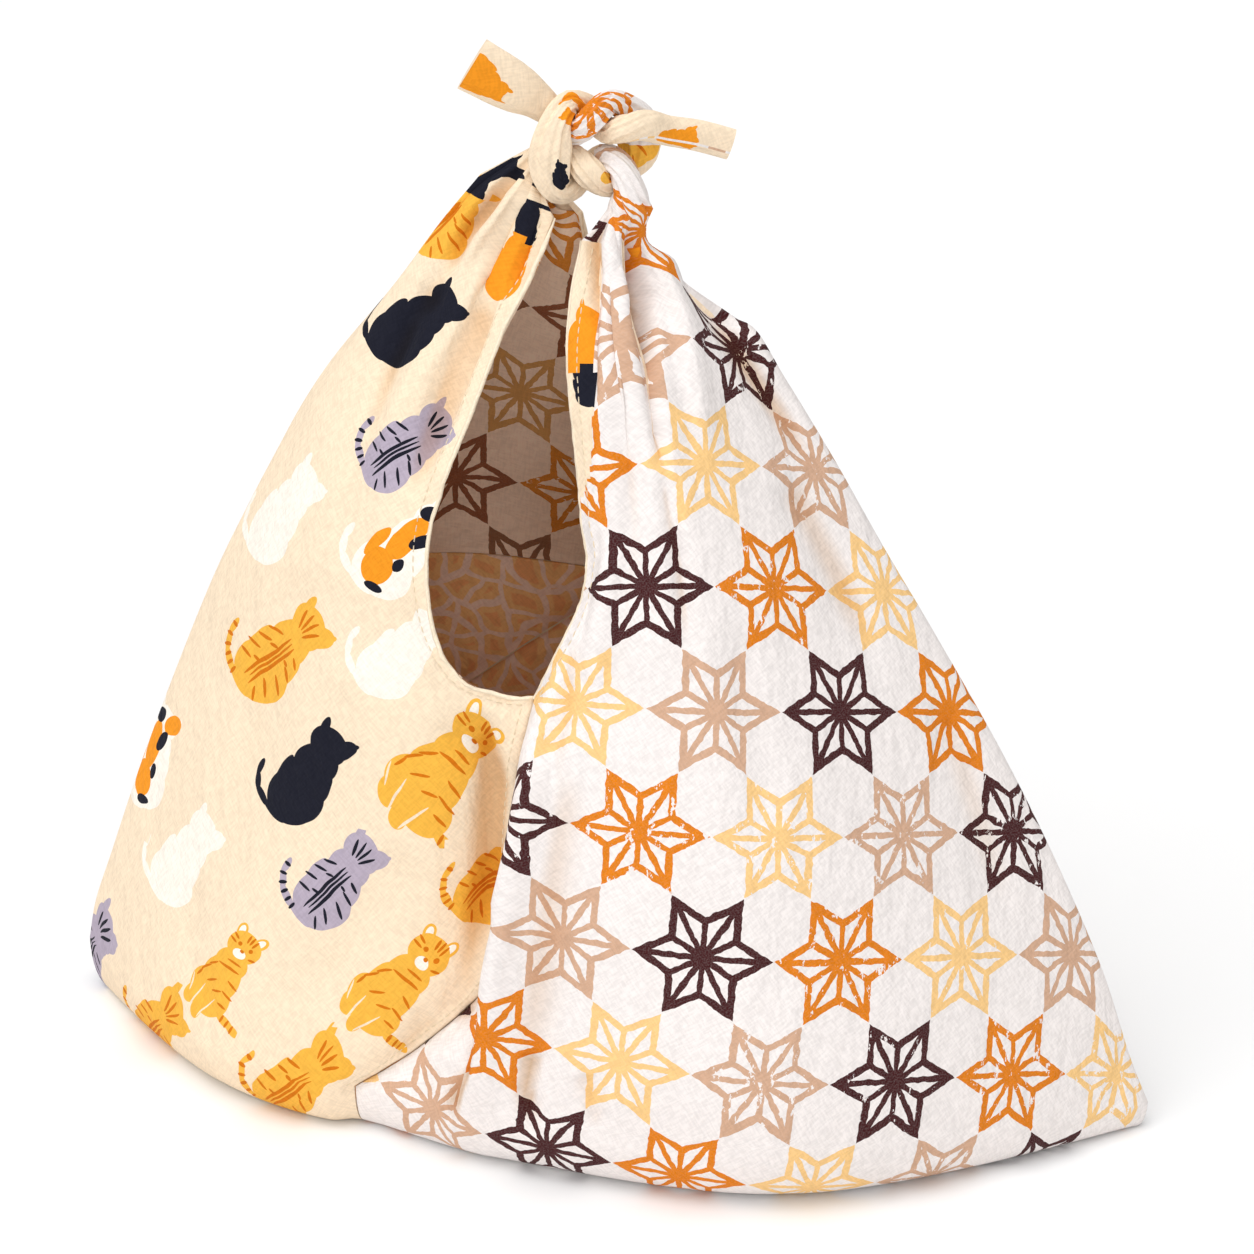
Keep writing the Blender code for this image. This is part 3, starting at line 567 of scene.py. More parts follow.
def crease_height(grid, normals, creases):
    """How far creases seen in the picture lift the cloth; each eases out at its two ends."""
    seen, front = in_picture(grid), facing(grid, normals)
    height = np.zeros(grid.shape[:2])
    for depth, left_width, right_width, line in creases:
        gap, part, left = along_line(seen, line)
        ends = smooth(part / CREASE_TOP_EASE) * smooth((1 - part) / CREASE_FOOT_EASE)
        height += depth * ends * np.exp(-(gap / np.where(left, left_width, right_width)) ** 2)
    return height * front


def softened(height, reach):
    """The lowest height nearby at each point of a grid, evened out."""
    for axis in (0, 1):
        height = np.min([np.roll(height, k, axis) for k in range(-reach, reach + 1)], axis=0)
    for axis in (0, 1):
        height = np.mean([np.roll(height, k, axis) for k in range(1 - reach, reach)], axis=0)
    return height


def figure_on_flat(grid, flat, at, degrees):
    """Turns places on the flat cloth into those of a figure that leans right this far in the picture."""
    row, column = at
    seen_steps, flat_steps = [], []
    for axis, k in ((0, row), (1, column)):
        ends = [max(k - LEAN_STEP, 0), min(k + LEAN_STEP, grid.shape[axis] - 1)]
        seen = in_picture(grid[ends, column] if axis == 0 else grid[row, ends])
        spread = flat[ends, column] if axis == 0 else flat[row, ends]
        seen_steps.append(seen[1] - seen[0])
        flat_steps.append(spread[1] - spread[0])
    to_seen = np.array(seen_steps).T @ np.linalg.inv(np.array(flat_steps).T)
    turn_out, sizes, turn_in = np.linalg.svd(to_seen)
    sizes = np.maximum(sizes, sizes[0] / MOST_SLANT) / PICTURE_SCALE
    c, s = math.cos(math.radians(degrees)), math.sin(math.radians(degrees))
    return np.array([[c, s], [s, -c]]) @ turn_out @ np.diag(sizes) @ turn_in


def seen_at(grid, place):
    """The row and column of the nearest point of a grid that shows at a place in the picture."""
    gap = np.linalg.norm(in_picture(grid) - np.array(place, float), axis=-1)
    depth = np.linalg.norm(grid - in_bag(CAMERA_PLACE), axis=-1)
    depth = np.where(gap <= max(SEEN_WITHIN, gap.min() + 1), depth + gap, np.inf)
    return np.unravel_index(np.argmin(depth), depth.shape)


def flattened(grid):
    """A grid of points laid flat, each triangle keeping its shape as nearly as its neighbours let it."""
    index = np.arange(grid.shape[0] * grid.shape[1]).reshape(grid.shape[:2])
    one, two, three, four = index[:-1, :-1], index[:-1, 1:], index[1:, 1:], index[1:, :-1]
    corners = [(one, two, three), (one, three, four), (one, two, four), (two, three, four)]
    corners = np.concatenate([np.stack([k.ravel() for k in three_of], axis=1) for three_of in corners])
    points, after = grid.reshape(-1, 3), [1, 2, 0]
    first, second = (points[corners[:, k]] - points[corners[:, 0]] for k in (1, 2))
    along = np.linalg.norm(first, axis=1)
    reach = np.sum(first * second, axis=1) / along
    rise = np.linalg.norm(np.cross(first, second), axis=1) / along
    zero = np.zeros_like(along)
    pairs = ((zero, zero), (along, zero), (reach, rise))
    own = np.stack([paired(*pair) for pair in pairs], axis=1)
    edges = own - own[:, after]
    weight = np.empty(corners.shape)
    for k in range(3):
        to_one, to_two = own[:, k] - own[:, (k + 2) % 3], own[:, (k + 1) % 3] - own[:, (k + 2) % 3]
        weight[:, k] = np.sum(to_one * to_two, axis=1) / (along * rise)
    weight = np.maximum(weight, LEAST_STIFFNESS)
    stiff = np.zeros((len(points), len(points)))
    start, end = corners.ravel(), corners[:, after].ravel()
    for i, j, sign in ((start, start, 1), (end, end, 1), (start, end, -1), (end, start, -1)):
        np.add.at(stiff, (i, j), sign * weight.ravel())
    stiff[0, 0] += 1
    solved = np.linalg.inv(stiff)
    column, row = np.divmod(corners, grid.shape[1])[::-1]
    slant = np.arctan2(row[:, 1] - row[:, 0], column[:, 1] - column[:, 0])
    turn = np.exp(1j * slant)
    complex_edges = edges[..., 0] + 1j * edges[..., 1]
    for _ in range(FLAT_STEPS):
        pull = (weight * turn[:, None] * complex_edges).ravel()
        load = np.zeros(len(points), complex)
        np.add.at(load, start, pull)
        np.add.at(load, end, -pull)
        flat = solved @ load
        shown = flat[corners] - flat[corners[:, after]]
        turn = np.sum(weight * shown * np.conj(complex_edges), axis=1)
        turn /= np.maximum(np.abs(turn), 1e-9)
    return paired(flat.real, flat.imag).reshape(grid.shape[:2] + (2,))


class Cloth:
    """A panel's outer face, with its way out of the bag and its place on the flat cloth."""

    def __init__(self, lines_at, columns, turn_under, pleats, creases, hemmed_from, hand, drawn_in):
        self.hand = hand
        sections = [section(lines_at(row), columns, FINE_COLUMNS) for row in ROWS]
        self.stations = sections[0][1]
        grid = np.array([points for points, _ in sections])
        height = pleat_height(ROWS, self.stations, pleats) + gather_height(ROWS, len(self.stations))
        grid = grid + outward(grid, hand) * height[..., None]
        middle, share, first = np.array(drawn_in[:2]), drawn_in[2], drawn_in[3]
        narrowed = 1 - share * toward_neck(ROWS, first)
        grid[..., :2] = middle + (grid[..., :2] - middle) * narrowed[:, None, None]
        turned = turned_under(grid[0], self.stations, turn_under, hand, FINE_TURN)
        self.grid = np.concatenate([turned, grid])
        self.smooth_grid, self.smooth_normals = self.grid, outward(self.grid, hand)
        lift = crease_height(self.grid, self.smooth_normals, creases)
        for column in (0, -1):
            lift[:MOUTH] *= smooth(self.from_edge(column)[:MOUTH] / SEAM_CALM)
        lift += self.hem_height(hemmed_from)
        self.grid = self.grid + self.smooth_normals * lift[..., None]
        self.normals = outward(self.grid, hand)
        self.normals[0] = self.smooth_normals[0] = (0, 0, -1)
        self.low = softened(np.minimum(lift, 0), LINING_CALM)
        self.flat = self.lay_flat(lines_at, columns, turn_under)

    def from_edge(self, column):
        """How far each point is along its row from the panel's first or last column."""
        run = run_along(self.grid)
        return run if column == 0 else run[:, -1:] - run

    def hem_height(self, first_row):
        """The turned hem along both edges stands a little proud, and more between its stitches."""
        rows = np.arange(len(self.grid))[:, None]
        height = 0
        for column in (0, -1):
            waves = np.sin(rows * PUCKER_WAVES[0]) * np.sin(rows * PUCKER_WAVES[1] + column)
            within = 1 - smooth((self.from_edge(column) - HEM_WIDTH) / HEM_STEP)
            height = height + HEM_LIFT * (1 + HEM_PUCKER * waves) * within
        return height * smooth((rows - first_row) / HEM_EASE_ROWS)

    def lay_flat(self, lines_at, columns, turn_under):
        """Each point's place on the cloth laid flat, in millimetres, with the least stretch."""
        rows = np.array(WALL_ROWS, float)
        sections = [section(lines_at(row), columns, 1) for row in rows]
        grid = np.array([points for points, _ in sections])
        turned = turned_under(grid[0], sections[0][1], turn_under, self.hand, FLAT_TURN)
        grid = np.concatenate([turned, grid])
        flat = flattened(grid) * (self.hand, 1)
        coarse_rows = np.concatenate([np.arange(FLAT_TURN) / FLAT_TURN, rows])
        fine = np.concatenate([np.arange(FINE_TURN) / FINE_TURN, ROWS])
        by_row = read(np.column_stack([coarse_rows, flat.reshape(len(coarse_rows), -1)]), fine)
        by_row = by_row.reshape(len(fine), -1, 2)
        column = np.arange(len(self.stations)) / FINE_COLUMNS
        first = np.minimum(column.astype(int), by_row.shape[1] - 2)
        part = (column - first)[:, None]
        return by_row[:, first] * (1 - part) + by_row[:, first + 1] * part

    def inside(self, depth):
        """The face this far inside, nearer at the hems, following creases without pinching in them."""
        gap = np.minimum(self.from_edge(0), self.from_edge(-1))
        depth = depth * (HEM_THIN + (1 - HEM_THIN) * smooth(gap / HEM_THIN_REACH))
        return self.smooth_grid + self.smooth_normals * (self.low - depth)[..., None]

    def set_flat(self, start, along):
        """Moves the flat layout to start at one place in the picture, with another lying along it."""
        zero = self.flat[seen_at(self.grid, start)]
        way = unit(self.flat[seen_at(self.grid, along)] - zero)
        turn = np.array([[way[0], way[1]], [-way[1], way[0]]])
        self.flat = (self.flat - zero) @ turn.T


def join(star, cat):
    """Brings the two panels' edges together along both seams, mitred and a seam gap apart."""
    low = slice(MOUTH + 1)
    for column, nearby in ((0, 1), (-1, -2)):
        star_way, cat_way = star.normals[low, column], cat.normals[low, column]
        shared = unit(star_way + cat_way)
        shared /= np.maximum(np.sum(shared * star_way, axis=1, keepdims=True), MITRE_LIMIT)
        seam = (star.grid[low, column] + cat.grid[low, column]) / 2
        across = unit(np.cross(shared, np.gradient(seam, axis=0)))
        to_star = star.grid[low, nearby] - cat.grid[low, nearby]
        across *= np.sign(np.sum(across * to_star, axis=1, keepdims=True))
        for cloth, side in ((star, 1), (cat, -1)):
            for grid, normals in ((cloth.grid, cloth.normals), (cloth.smooth_grid, cloth.smooth_normals)):
                grid[low, column] = seam + across * side * SEAM_GAP / 2
                normals[low, column] = shared


def strand_swell(part, angle):
    """How much fuller a strand is for its uneven lengthwise pleats, which fade before its free end."""
    fade = smooth((PLEATS_END - part) / PLEATS_FADE)[:, None]
    waves = sum(size * np.cos(count * angle + phase + turn * part[:, None])
                for size, count, phase, turn in STRAND_PLEATS)
    return 1 + fade * (STRAND_SWELL + waves)


def strand(table, count, hand):
    """Sections of a horn's end through the knot: its outer half and its inner half."""
    keys = np.array(table, float)
    reach = run_along(keys[:, :3])
    steps = np.arange((len(keys) - 1) * FINE_STRAND + 1) / FINE_STRAND
    at = np.interp(steps, np.arange(len(keys)), reach)
    keys = read(np.column_stack([reach, keys]), at)
    centre = in_bag(keys[:, :3]) + np.array(KNOT_MIDDLE)
    tangent = unit(np.gradient(centre, at, axis=0))
    out = in_bag(keys[:, 3:6])
    out = unit(out - tangent * np.sum(out * tangent, axis=1, keepdims=True))
    side = -hand * np.cross(out, tangent)
    halves = []
    for first, last in ((-STRAND_OUTER_REACH, STRAND_OUTER_REACH),
                        (-STRAND_INNER_REACH, STRAND_INNER_REACH - 2 * math.pi)):
        angle = np.linspace(first, last, count)[None, :]
        swell = strand_swell(at / reach[-1], angle)[..., None]
        angle = angle[..., None]
        high = keys[:, 6][:, None, None] * np.cos(angle) * out[:, None]
        deep = keys[:, 7][:, None, None] * np.sin(angle) * side[:, None]
        halves.append(centre[:, None] + (high + deep) * swell)
    return halves


def panel(cloth, table):
    """A panel's outer and inner faces and their flat places, from the ground to its free end."""
    wall, count = cloth.grid.shape[:2]
    faces = []
    for skin, end in zip((cloth.grid, cloth.inside(PANEL_THICKNESS)), strand(table, count, cloth.hand)):
        steps = [skin[-1] + (end[0] - skin[-1]) * smooth(k / FINE_NECK) for k in range(1, FINE_NECK)]
        faces.append(np.concatenate([skin, np.array(steps), end]))
    outer = faces[0]
    arc = run_along(outer[wall:])
    rise = np.linalg.norm(np.diff(outer[wall - 1:], axis=0), axis=2).mean(axis=1)
    middle = cloth.flat[-1, count // 2]
    across = middle[0] + cloth.hand * (arc - arc[:, -1:] / 2)
    up = middle[1] + np.cumsum(rise)[:, None]
    beyond = paired(across, up)
    ahead = cloth.flat[-1] - beyond[0] + (0, rise[0])
    eased = 1 - smooth(np.arange(len(beyond)) / PRINT_EASE)
    return faces, np.concatenate([cloth.flat, beyond + ahead * eased[:, None, None]])


class Body:
    """Points, faces and flat places of one piece, gathered one grid at a time."""

    def __init__(self):
        self.points, self.faces, self.flat, self.slots, self.folds, self.level = [], [], [], [], [], []

    def add(self, points, flat, folds=0):
        first = len(self.points)
        self.folds.extend(np.broadcast_to(folds, np.shape(points)[:-1]).ravel().tolist())
        self.points.extend(np.asarray(points).reshape(-1, 3).tolist())
        self.flat.extend(np.asarray(flat).reshape(-1, 2).tolist())
        count = len(self.points) - first
        return first + np.arange(count).reshape(np.shape(points)[:-1])

    def strip(self, one, two, slot=0):
        for k in range(len(one) - 1):
            corners = []
            for corner in (one[k], one[k + 1], two[k + 1], two[k]):
                if corner not in corners:
                    corners.append(int(corner))
            if len(corners) > 2:
                self.faces.append(corners)
                self.slots.append(slot if np.ndim(slot) == 0 else int(slot[k]))

    def skin(self, ids, slots=None):
        for k in range(len(ids) - 1):
            self.strip(ids[k], ids[k + 1], 0 if slots is None else slots[k])

    def tube(self, points, flat):
        """A tube through rings of points, with a cap on each end."""
        ids = self.add(points, flat)
        self.skin(np.concatenate([ids, ids[:, :1]], axis=1))
        for end in (ids[0], ids[-1]):
            self.faces.append(end.tolist())
            self.slots.append(0)

    def place_motifs(self, mesh, corners, cells, printed_slot):
        """Gives each face the printed figure that lies nearest to it, and its place in that figure."""
        flat = np.array(self.flat)[corners]
        starts = np.zeros(len(mesh.polygons), dtype=np.int32)
        mesh.polygons.foreach_get("loop_start", starts)
        counts = np.diff(np.append(starts, len(flat)))
        middle = np.add.reduceat(flat, starts, axis=0) / counts[:, None]
        shrink = np.abs(cells[:, 2] * cells[:, 5] - cells[:, 3] * cells[:, 4]) ** 0.5
        gaps = np.linalg.norm(middle[:, None] - cells[None, :, :2], axis=2) * shrink
        nearest = cells[np.argmin(gaps, axis=1)]
        slots = np.array(self.slots)
        self.slots = np.where(slots == printed_slot, printed_slot + nearest[:, 6].astype(int), slots)
        chosen = np.repeat(nearest, counts, axis=0)
        away = flat - chosen[:, :2]
        inside = np.stack([np.sum(chosen[:, k:k + 2] * away, axis=1) for k in (2, 4)], axis=1)
        mesh.uv_layers.new(name="motif").data.foreach_set("uv", inside.ravel())
        mesh.uv_layers.new(name="kind").data.foreach_set("uv", chosen[:, 6:8].ravel())

    def finish(self, name, materials, cells=None, printed_slot=0):
        mesh = bpy.data.meshes.new(name)
        places = (np.array(self.points) - (*ORIGIN, 0)) * MM
        mesh.from_pydata(places.tolist(), [], self.faces)
        mesh.shade_smooth()
        layer = mesh.uv_layers.new(name="cloth")
        corners = np.zeros(len(mesh.loops), dtype=np.int32)
        mesh.loops.foreach_get("vertex_index", corners)
        flat = np.array(self.flat)[corners]
        face_of = np.repeat(np.arange(len(self.faces)), [len(face) for face in self.faces])
        level = np.isin(face_of, self.level)
        flat[level] = np.array(self.points)[corners[level], :2]
        layer.data.foreach_set("uv", flat.ravel())
        # Painted shade: how deep each point lies in a fold, carried in the fold layer for the materials.
        folds = np.array(self.folds)[corners]
        mesh.uv_layers.new(name="fold").data.foreach_set("uv", paired(folds, folds).ravel())
        for material in materials:
            mesh.materials.append(material)
        if cells is not None:
            self.place_motifs(mesh, corners, cells, printed_slot)
        mesh.polygons.foreach_set("material_index", np.array(self.slots, dtype=np.int32))
        fix_normals(mesh)
        mesh.set_sharp_from_angle(angle=SHARP_ANGLE)
        piece = bpy.data.objects.new(name, mesh)
        bpy.context.collection.objects.link(piece)
        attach(piece, "root")
        return piece


def fix_normals(mesh):
    shaped = bmesh.new()
    shaped.from_mesh(mesh)
    bmesh.ops.recalc_face_normals(shaped, faces=shaped.faces[:])
    shaped.to_mesh(mesh)
    shaped.free()


def sheet(outer, inner, flat, slots=None, folds=0):
    """A closed sheet of cloth between its two faces, but for its foot."""
    body = Body()
    out_ids, in_ids = body.add(outer, flat, folds), body.add(inner, flat)
    body.skin(out_ids, slots)
    body.skin(in_ids, slots)
    body.strip(out_ids[:, 0], in_ids[:, 0])
    body.strip(out_ids[:, -1], in_ids[:, -1])
    body.strip(out_ids[-1], in_ids[-1], 0 if slots is None else slots[-1])
    return body, out_ids, in_ids


def make_star_panel(star, cat, materials):
    (outer, inner), flat = panel(star, STAR_STRAND)
    wall = len(star.grid)
    slots = np.zeros(outer.shape[:2], int)
    slots[wall + FINE_NECK + STRAND_TURN * FINE_STRAND:] = 1
    for row in np.flatnonzero((ROWS > HEM_OUT[0]) & (ROWS < HEM_OUT[1])) + FINE_TURN:
        part = (ROWS[row - FINE_TURN] - HEM_OUT[0]) / (HEM_OUT[1] - HEM_OUT[0])
        width = HEM_OUT_WIDTH * math.sin(math.pi * part) ** 0.5
        slots[row, :-1] = star.from_edge(0)[row, 1:] < width
    cells = print_cells(outer, flat, STRAND_MARKS, False)
    # Shade is painted into the outer face's folds.
    body, out_ids, in_ids = sheet(outer, inner, flat, slots, painted_fold_shade(outer, star.hand))
    foot = cat.grid[0]
    run = np.gradient(foot[:, :2], axis=0)
    low = foot.copy()
    low[:, :2] += unit(np.column_stack([run[:, 1], -run[:, 0]])) * SEAM_GAP
    rims = []
    for ids, height in ((out_ids, 0), (in_ids, PANEL_THICKNESS)):
        rim = body.add(low + np.array([0, 0, height]), low[:, :2] - star.grid[0, 0, :2])
        body.strip(np.concatenate([rim[CAT_RIDGE_COLUMN::-1], ids[0, :STAR_RIDGE_COLUMN + 1]]),
                   np.concatenate([rim[CAT_RIDGE_COLUMN:], ids[0, :STAR_RIDGE_COLUMN - 1:-1]]))
        rims.append(np.concatenate([ids[0, :1], rim, ids[0, -1:]]))
    body.strip(*rims)
    return body.finish("star_cloth", materials, cells, 1)


def make_cat_panel(cat, materials):
    (outer, inner), flat = panel(cat, CAT_STRAND)
    first = len(cat.grid) + FINE_NECK
    turned_out = range(first + int(LINING_OUT[0] * FINE_STRAND), first + int(LINING_OUT[1] * FINE_STRAND))
    slots = [2 if k in turned_out else 0 for k in range(len(outer))]
    # Shade is painted into the outer face's folds.
    body, out_ids, in_ids = sheet(outer, inner, flat, slots, painted_fold_shade(outer, cat.hand))
    body.strip(out_ids[0], in_ids[0])
    return body.finish("cat_cloth", materials, print_cells(outer, flat, CATS, True))


def print_cells(grid, flat, figures, repeated):
    """Places of the printed figures on the flat cloth: the picture's own, then rows of more of them."""
    cells = []
    for across, down, lean, size, pose, dye in figures:
        at = seen_at(grid, (across, down))
        cells.append((*flat[at], *(figure_on_flat(grid, flat, at, lean) / size).ravel(), pose, dye))
    if not repeated:
        return np.array(cells)
    seen = np.array(cells)[:, :2]
    low, high = flat.reshape(-1, 2).min(axis=0), flat.reshape(-1, 2).max(axis=0)
    order = 0
    for row in range(int((high[1] - low[1]) / FIGURE_RISE) + 2):
        for column in range(int((high[0] - low[0]) / FIGURE_PITCH) + 2):
            place = low + (FIGURE_PITCH * (column + FIGURE_SHIFT * (row % 3)), FIGURE_RISE * row)
            order += 1
            if np.min(np.linalg.norm(seen - place, axis=1)) > FIGURE_ROOM:
                pose, dye = FIGURE_ORDER[order % len(FIGURE_ORDER)]
                turn = math.radians(FIGURE_LEAN + LEAN_CHANGE * math.sin(order * CHANGE_STEP))
                c, s = math.cos(turn), math.sin(turn)
                cells.append((*place, c, s, -s, c, pose, dye))
    return np.array(cells)


def make_horn_lining(name, cloth, materials, cells=None):
    rows = slice(MOUTH, LINING_TOP + 1)
    depth = PANEL_THICKNESS + HORN_GAP
    outer, inner = cloth.inside(depth)[rows], cloth.inside(depth + LINING_THICKNESS)[rows]
    body, out_ids, in_ids = sheet(outer, inner, cloth.flat[rows])
    body.strip(out_ids[0], in_ids[0])
    return body.finish(name, materials, cells)


def make_stitches(name, cloth, first_row, materials):
    """Short raised threads in a line along both hems of a panel."""
    body = Body()
    parts, widths, heights = np.array(STITCH_SHAPE, float).T
    turn = np.linspace(0, 2 * math.pi, STITCH_SIDES + 1)[:-1]
    c, s = np.cos(turn)[None, :, None], np.sin(turn)[None, :, None]
    for column, order in ((0, slice(None)), (-1, slice(None, None, -1))):
        gaps = cloth.from_edge(column)[first_row:, order]
        line, normals = (
            np.array([[np.interp(STITCH_INSET, gap, row[:, k]) for k in range(3)]
                      for gap, row in zip(gaps, grid[first_row:, order])])
            for grid in (cloth.grid, cloth.normals))
        reach = run_along(line)
        table, ways = np.column_stack([reach, line]), np.column_stack([reach, unit(normals)])
        for start in np.arange(STITCH_START, reach[-1] - STITCH_PITCH, STITCH_PITCH):
            at = start + STITCH_LENGTH * parts
            middle, normal = read(table, at), unit(read(ways, at))
            side = np.cross(unit(np.gradient(middle, axis=0)), normal)
            ring = c * normal[:, None] + s * side[:, None]
            middle = middle + STITCH_THICK * heights[:, None] * normal
            points = middle[:, None] + STITCH_THICK * widths[:, None, None] * ring
            body.tube(points, paired(at[:, None], turn[None]))
    return body.finish(name, materials)


def make_edge_roll(name, cloth, column, materials):
    """The lining's edge, turned out over the rim of a mouth as a thin roll."""
    rows = np.arange(MOUTH, LINING_TOP + 1)
    edge, next_in = cloth.grid[rows, column], cloth.grid[rows, 1 if column == 0 else -2]
    normal = cloth.normals[rows, column]
    off = unit(np.cross(unit(np.gradient(edge, axis=0)), normal))
    off *= np.sign(np.sum(off * (edge - next_in), axis=1, keepdims=True))
    reach = run_along(edge)
    middle = edge - normal * (ROLL_DEPTH - ROLL_PROUD) + off * ROLL_OUT
    swell = 1 + ROLL_WAVE * np.sin(reach * ROLL_WAVES[0]) * np.sin(reach * ROLL_WAVES[1] + column)
    swell *= ROLL_END + (1 - ROLL_END) * smooth((reach[-1] - reach) / ROLL_FADE)
    angle = np.linspace(0, 2 * math.pi, ROLL_SIDES + 1)[:-1]
    deep = ROLL_DEPTH * np.cos(angle)[None, :, None] * normal[:, None]
    wide = ROLL_WIDTH * np.sin(angle)[None, :, None] * off[:, None]
    body = Body()
    body.tube(middle[:, None] + swell[:, None, None] * (deep + wide),
              paired(angle[None] * ROLL_DEPTH, reach[:, None]))
    return body.finish(name, materials)


def blunt(face, ridge_column):
    """A face that leaves the sharp ridge out and turns back through one point between its sides."""
    reach = BLUNT_COLUMNS * FINE_COLUMNS
    ahead, behind = face[:, ridge_column - reach], face[:, ridge_column + reach]
    middle = (ahead + behind) / 2
    turn = middle + (face[:, ridge_column] - middle) * BLUNT_REACH
    return face[:, :ridge_column - reach + 1], turn[:, None], face[:, ridge_column + reach:]


def make_base_lining(star, cat, materials):
    body = Body()
    tops = []
    for depth in (PANEL_THICKNESS + BASE_GAP, PANEL_THICKNESS + BASE_GAP + LINING_THICKNESS):
        ahead, turn, behind = blunt(star.inside(depth)[:MOUTH + 1], STAR_RIDGE_COLUMN)
        cat_ahead, cat_turn, cat_behind = blunt(cat.inside(depth)[:MOUTH + 1], CAT_RIDGE_COLUMN)
        front = np.concatenate([cat_turn, cat_ahead[:, :0:-1], ahead, turn], axis=1)
        back = np.concatenate([cat_behind[:, :-1], behind[:, ::-1]], axis=1)
        front[-1, :, 2] -= LINING_SEAM_GAP
        back[-1, :, 2] -= LINING_SEAM_GAP
        ids = []
        for face in (front, back):
            run, middle = run_along(face), face.shape[1] // 2
            run += (face[:, middle, 0] - run[:, middle])[:, None]
            ids.append(body.add(face, paired(run, face[..., 2])))
        front_ids, back_ids = ids
        whole_back = np.concatenate([front_ids[:, :1], back_ids, front_ids[:, -1:]], axis=1)
        body.skin(front_ids)
        body.skin(whole_back)
        first = len(body.faces)
        body.strip(front_ids[0], whole_back[0])
        body.level += range(first, len(body.faces))
        tops.append((front_ids[-1], whole_back[-1]))
    for one, two in zip(*tops):
        body.strip(one, two)
    return body.finish("leaf_lining", materials)


def rgb(red, green, blue):
    """A colour as the eye reads it, from 0 to 255, turned into the renderer's own."""
    shares = [value / 255 for value in (red, green, blue)]
    return tuple(share / 12.92 if share <= 0.04 else ((share + 0.055) / 1.055) ** 2.4 for share in shares)


# The weave: the way its threads run, how fine they are, how much longer than wide, and how fine the slubs
# and the cloth's soft unevenness are.
WEAVE_TURN = math.radians(38)
WEAVE_SCALE = 1.6
WEAVE_STRETCH = (1.0, 6.0, 1.0)
SLUB_SCALE = 0.35
SOFT_SCALE = 0.03

# What each does to the tint and the roughness, with columns: noise from and to, result from and to.
WEAVE_TINT = (0.75, 1.25, 0.925, 1.04)
SLUB_TINT = (0.3, 0.7, 0.985, 1.012)
SOFT_TINT = (0.35, 0.65, 0.985, 1.01)
WEAVE_ROUGHNESS = (0.8, 1.2, 0.9, 0.78)
# Painted shade in folds: what the colour is multiplied by at the bottom of a fold.
PAINTED_FOLD_SHADE = (0.74, 0.56, 0.40, 1)

# How the threads, slubs and small crumples lift the surface, beside each other and in metres.
WEAVE_HEIGHT = 0.6
SLUB_HEIGHT = 0.8
CRUMPLE_HEIGHT = 9.0
CRUMPLE_SCALE = 0.11
CRUMPLE_STRETCH = (1.0, 0.4, 1.0)
BUMP_STRENGTH = 0.6
BUMP_DEPTH = 0.0003

# Plain colours.
CREAM = rgb(246, 230, 204)
THREAD = rgb(238, 220, 190)
CAT_GROUND = rgb(243, 222, 194)
STAR_GROUND = rgb(238, 231, 228)
LINING_GROUND = rgb(255, 228, 204)

# The star print: its inks outside and inside, the stars' pitch, the gap between two of them, the width of
# their lines and of their arms beside it, their hearts, and how far the lines wobble.
STAR_INKS = [rgb(66, 24, 26), rgb(220, 124, 8), rgb(244, 200, 134), rgb(206, 166, 138)]
LINING_INKS = [rgb(150, 92, 62), rgb(222, 140, 50), rgb(214, 160, 96), rgb(150, 104, 74)]
STAR_PITCH = 37.0
STAR_GAP = 0.4
STAR_LINE = 1.9
STAR_ARM = 0.42
STAR_HEART = 3.1
STAR_WOBBLE = (0.45, 0.9)

# Where the ink is rubbed off: how fine, how much of a star is left, and how pale the ink's grain is.
INK_SEED = (7.0, 3.0, 0.0)
SEED_STEP = (2.0, 2.0, 2.0)
RUB_SCALE = 0.42
RUB_STRETCH = (1.0, 0.5, 1.0)
RUB_LIMIT = (0.0, 1.0, 0.82, 0.6)
GRAIN_SCALE = 2.2
GRAIN_STRENGTH = (0.35, 0.7, 1.0, 0.94)

# The leaf print: its ground, leaf and vein, the rings' pitch and their size as a share of it, how fine
# and how unlike the leaves are, and where a leaf's vein, its body and a ring begin and end.
LEAF_COLOURS = [rgb(250, 182, 124), rgb(255, 202, 138), rgb(255, 222, 202)]
LEAF_PITCH = 34.0
LEAF_RING = 0.36
LEAF_SCALE = 0.11
LEAF_UNLIKE = 0.7
LEAF_VEIN = (0.07, 0.11)
LEAF_BODY = (0.26, 0.34)
RING_EDGE = (0.7, 1.1)
LEAF_WOBBLES = [(0.05, 7.0), (0.14, 3.4)]

# The colours of each dye: ginger, grey, black, white, white with patches, an orange patch, a black patch.
# Stripes and faces show on the first ones and the tail on more of them.
GINGER = rgb(240, 180, 70)
GREY = rgb(178, 166, 182)
BLACK = rgb(30, 31, 42)
WHITE = rgb(248, 240, 228)
ORANGE = rgb(240, 150, 36)
CAT_COATS = [GINGER, GREY, BLACK, WHITE, WHITE, ORANGE, BLACK]
CAT_STRIPES = [rgb(210, 116, 20), BLACK, BLACK, WHITE, WHITE, ORANGE, BLACK]
CAT_WARM_PATCHES = [GINGER, GREY, BLACK, WHITE, ORANGE, ORANGE, BLACK]
CAT_DARK_PATCHES = [GINGER, GREY, BLACK, WHITE, BLACK, ORANGE, BLACK]
PALE = [WHITE] * len(CAT_COATS)
STRIPED_DYES = 2
TAILED_DYES = 5
CAT_WOBBLE = (0.11, 1.3)

